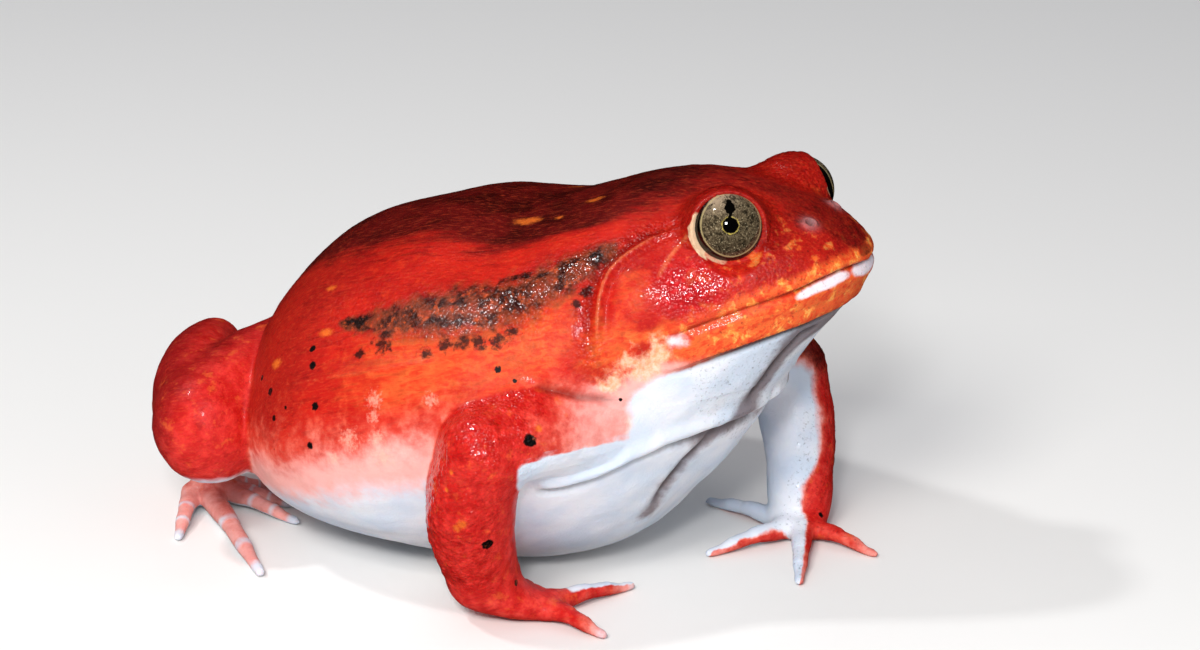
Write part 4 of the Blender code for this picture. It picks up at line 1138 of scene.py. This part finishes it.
iris = eye_material()
eyes = {}
for name, side in (("right", -1), ("left", 1)):
    eyes[name] = make_eye("eyeball_" + name, side)
    eyes[name].data.materials.append(iris)

FLESH = ["head", "lower_jaw", "trunk"] + [n + "_" + s for n in ("upper_arm", "forearm", "hand", "thigh", "shank", "foot") for s in ("right", "left")]
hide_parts(*FLESH)
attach(skin, "root")
for name, obj in eyes.items():
    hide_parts("eye_" + name)
    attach(obj, "root")

# ---------------------------------------------------------------- floor, light and camera
floor_mesh = bpy.data.meshes.new("studio floor")
floor_mesh.from_pydata([(-3, -3, 0), (3, -3, 0), (3, 3, 0), (-3, 3, 0)], [], [(0, 1, 2, 3)])
floor = bpy.data.objects.new("studio floor", floor_mesh)
bpy.context.scene.collection.objects.link(floor)
fp = Paint("pale studio floor")
fp.shader(Base_Color=colour("EFEDE9"), Roughness=0.75)
floor_mesh.materials.append(fp.material)
floor.visible_glossy = False

world = bpy.context.scene.world or bpy.data.worlds.new("studio")
bpy.context.scene.world = world
world.use_nodes = True
world.node_tree.nodes["Background"].inputs["Color"].default_value = (0.86, 0.90, 1.0, 1.0)
world.node_tree.nodes["Background"].inputs["Strength"].default_value = 0.34
world.cycles_visibility.glossy = False

right = np.array((math.cos(math.radians(28)), math.sin(math.radians(28)), 0.0))
back = np.array((math.sin(math.radians(28)) * math.cos(math.radians(20.5)), -math.cos(math.radians(28)) * math.cos(math.radians(20.5)), math.sin(math.radians(20.5))))
back /= np.linalg.norm(back)
up_ = np.cross(back, right)
eye_point = np.array((0, 0, 22.0)) + back * 520.0
look = 3796.0 * -back + 125.0 * right + 47.0 * up_


def place_camera():
    data = bpy.data.cameras.new("camera")
    data.lens = 113.88
    data.sensor_width = 36.0
    data.clip_start = 0.01
    cam = bpy.data.objects.new("camera", data)
    cam.location = Vector((eye_point - ORIGIN) * SCALE)
    cam.rotation_euler = Vector(look).to_track_quat("-Z", "Y").to_euler()
    bpy.context.scene.collection.objects.link(cam)
    bpy.context.scene.camera = cam


def area(name, toward, far, size, watts, tint=(1, 1, 1), shine=True):
    """A square lamp in the given direction from the frog, aimed at it."""
    d = np.array(toward, float)
    d /= np.linalg.norm(d)
    data = bpy.data.lights.new(name, "AREA")
    data.shape = "SQUARE"
    data.size = size
    data.energy = watts
    data.color = tint
    lamp = bpy.data.objects.new(name, data)
    aim = Vector((0.01, 0.0, 0.028))
    lamp.location = aim + Vector(d * far)
    lamp.rotation_euler = (-Vector(d)).to_track_quat("-Z", "Y").to_euler()
    lamp.visible_glossy = shine
    bpy.context.scene.collection.objects.link(lamp)
    return lamp


place_camera()
area("key", back + 0.36 * up_ - 0.34 * right, 0.75, 0.22, 3.5, (1.0, 0.985, 0.96), False)
area("flash", back + 0.17 * up_ - 0.10 * right, 0.55, 0.06, 1.4, (0.97, 0.98, 1.0))
area("spark", (-0.47, -0.29, 0.84), 0.60, 0.045, 0.9, (0.97, 0.98, 1.0))
area("fill", back + 0.0 * up_ + 1.0 * right, 0.8, 0.5, 0.9, (0.96, 0.98, 1.0), False)
area("top", (-0.3, 0.3, 1.0), 0.7, 0.35, 0.3, (1.0, 1.0, 1.0), False)

bpy.context.scene.view_settings.view_transform = "Standard"
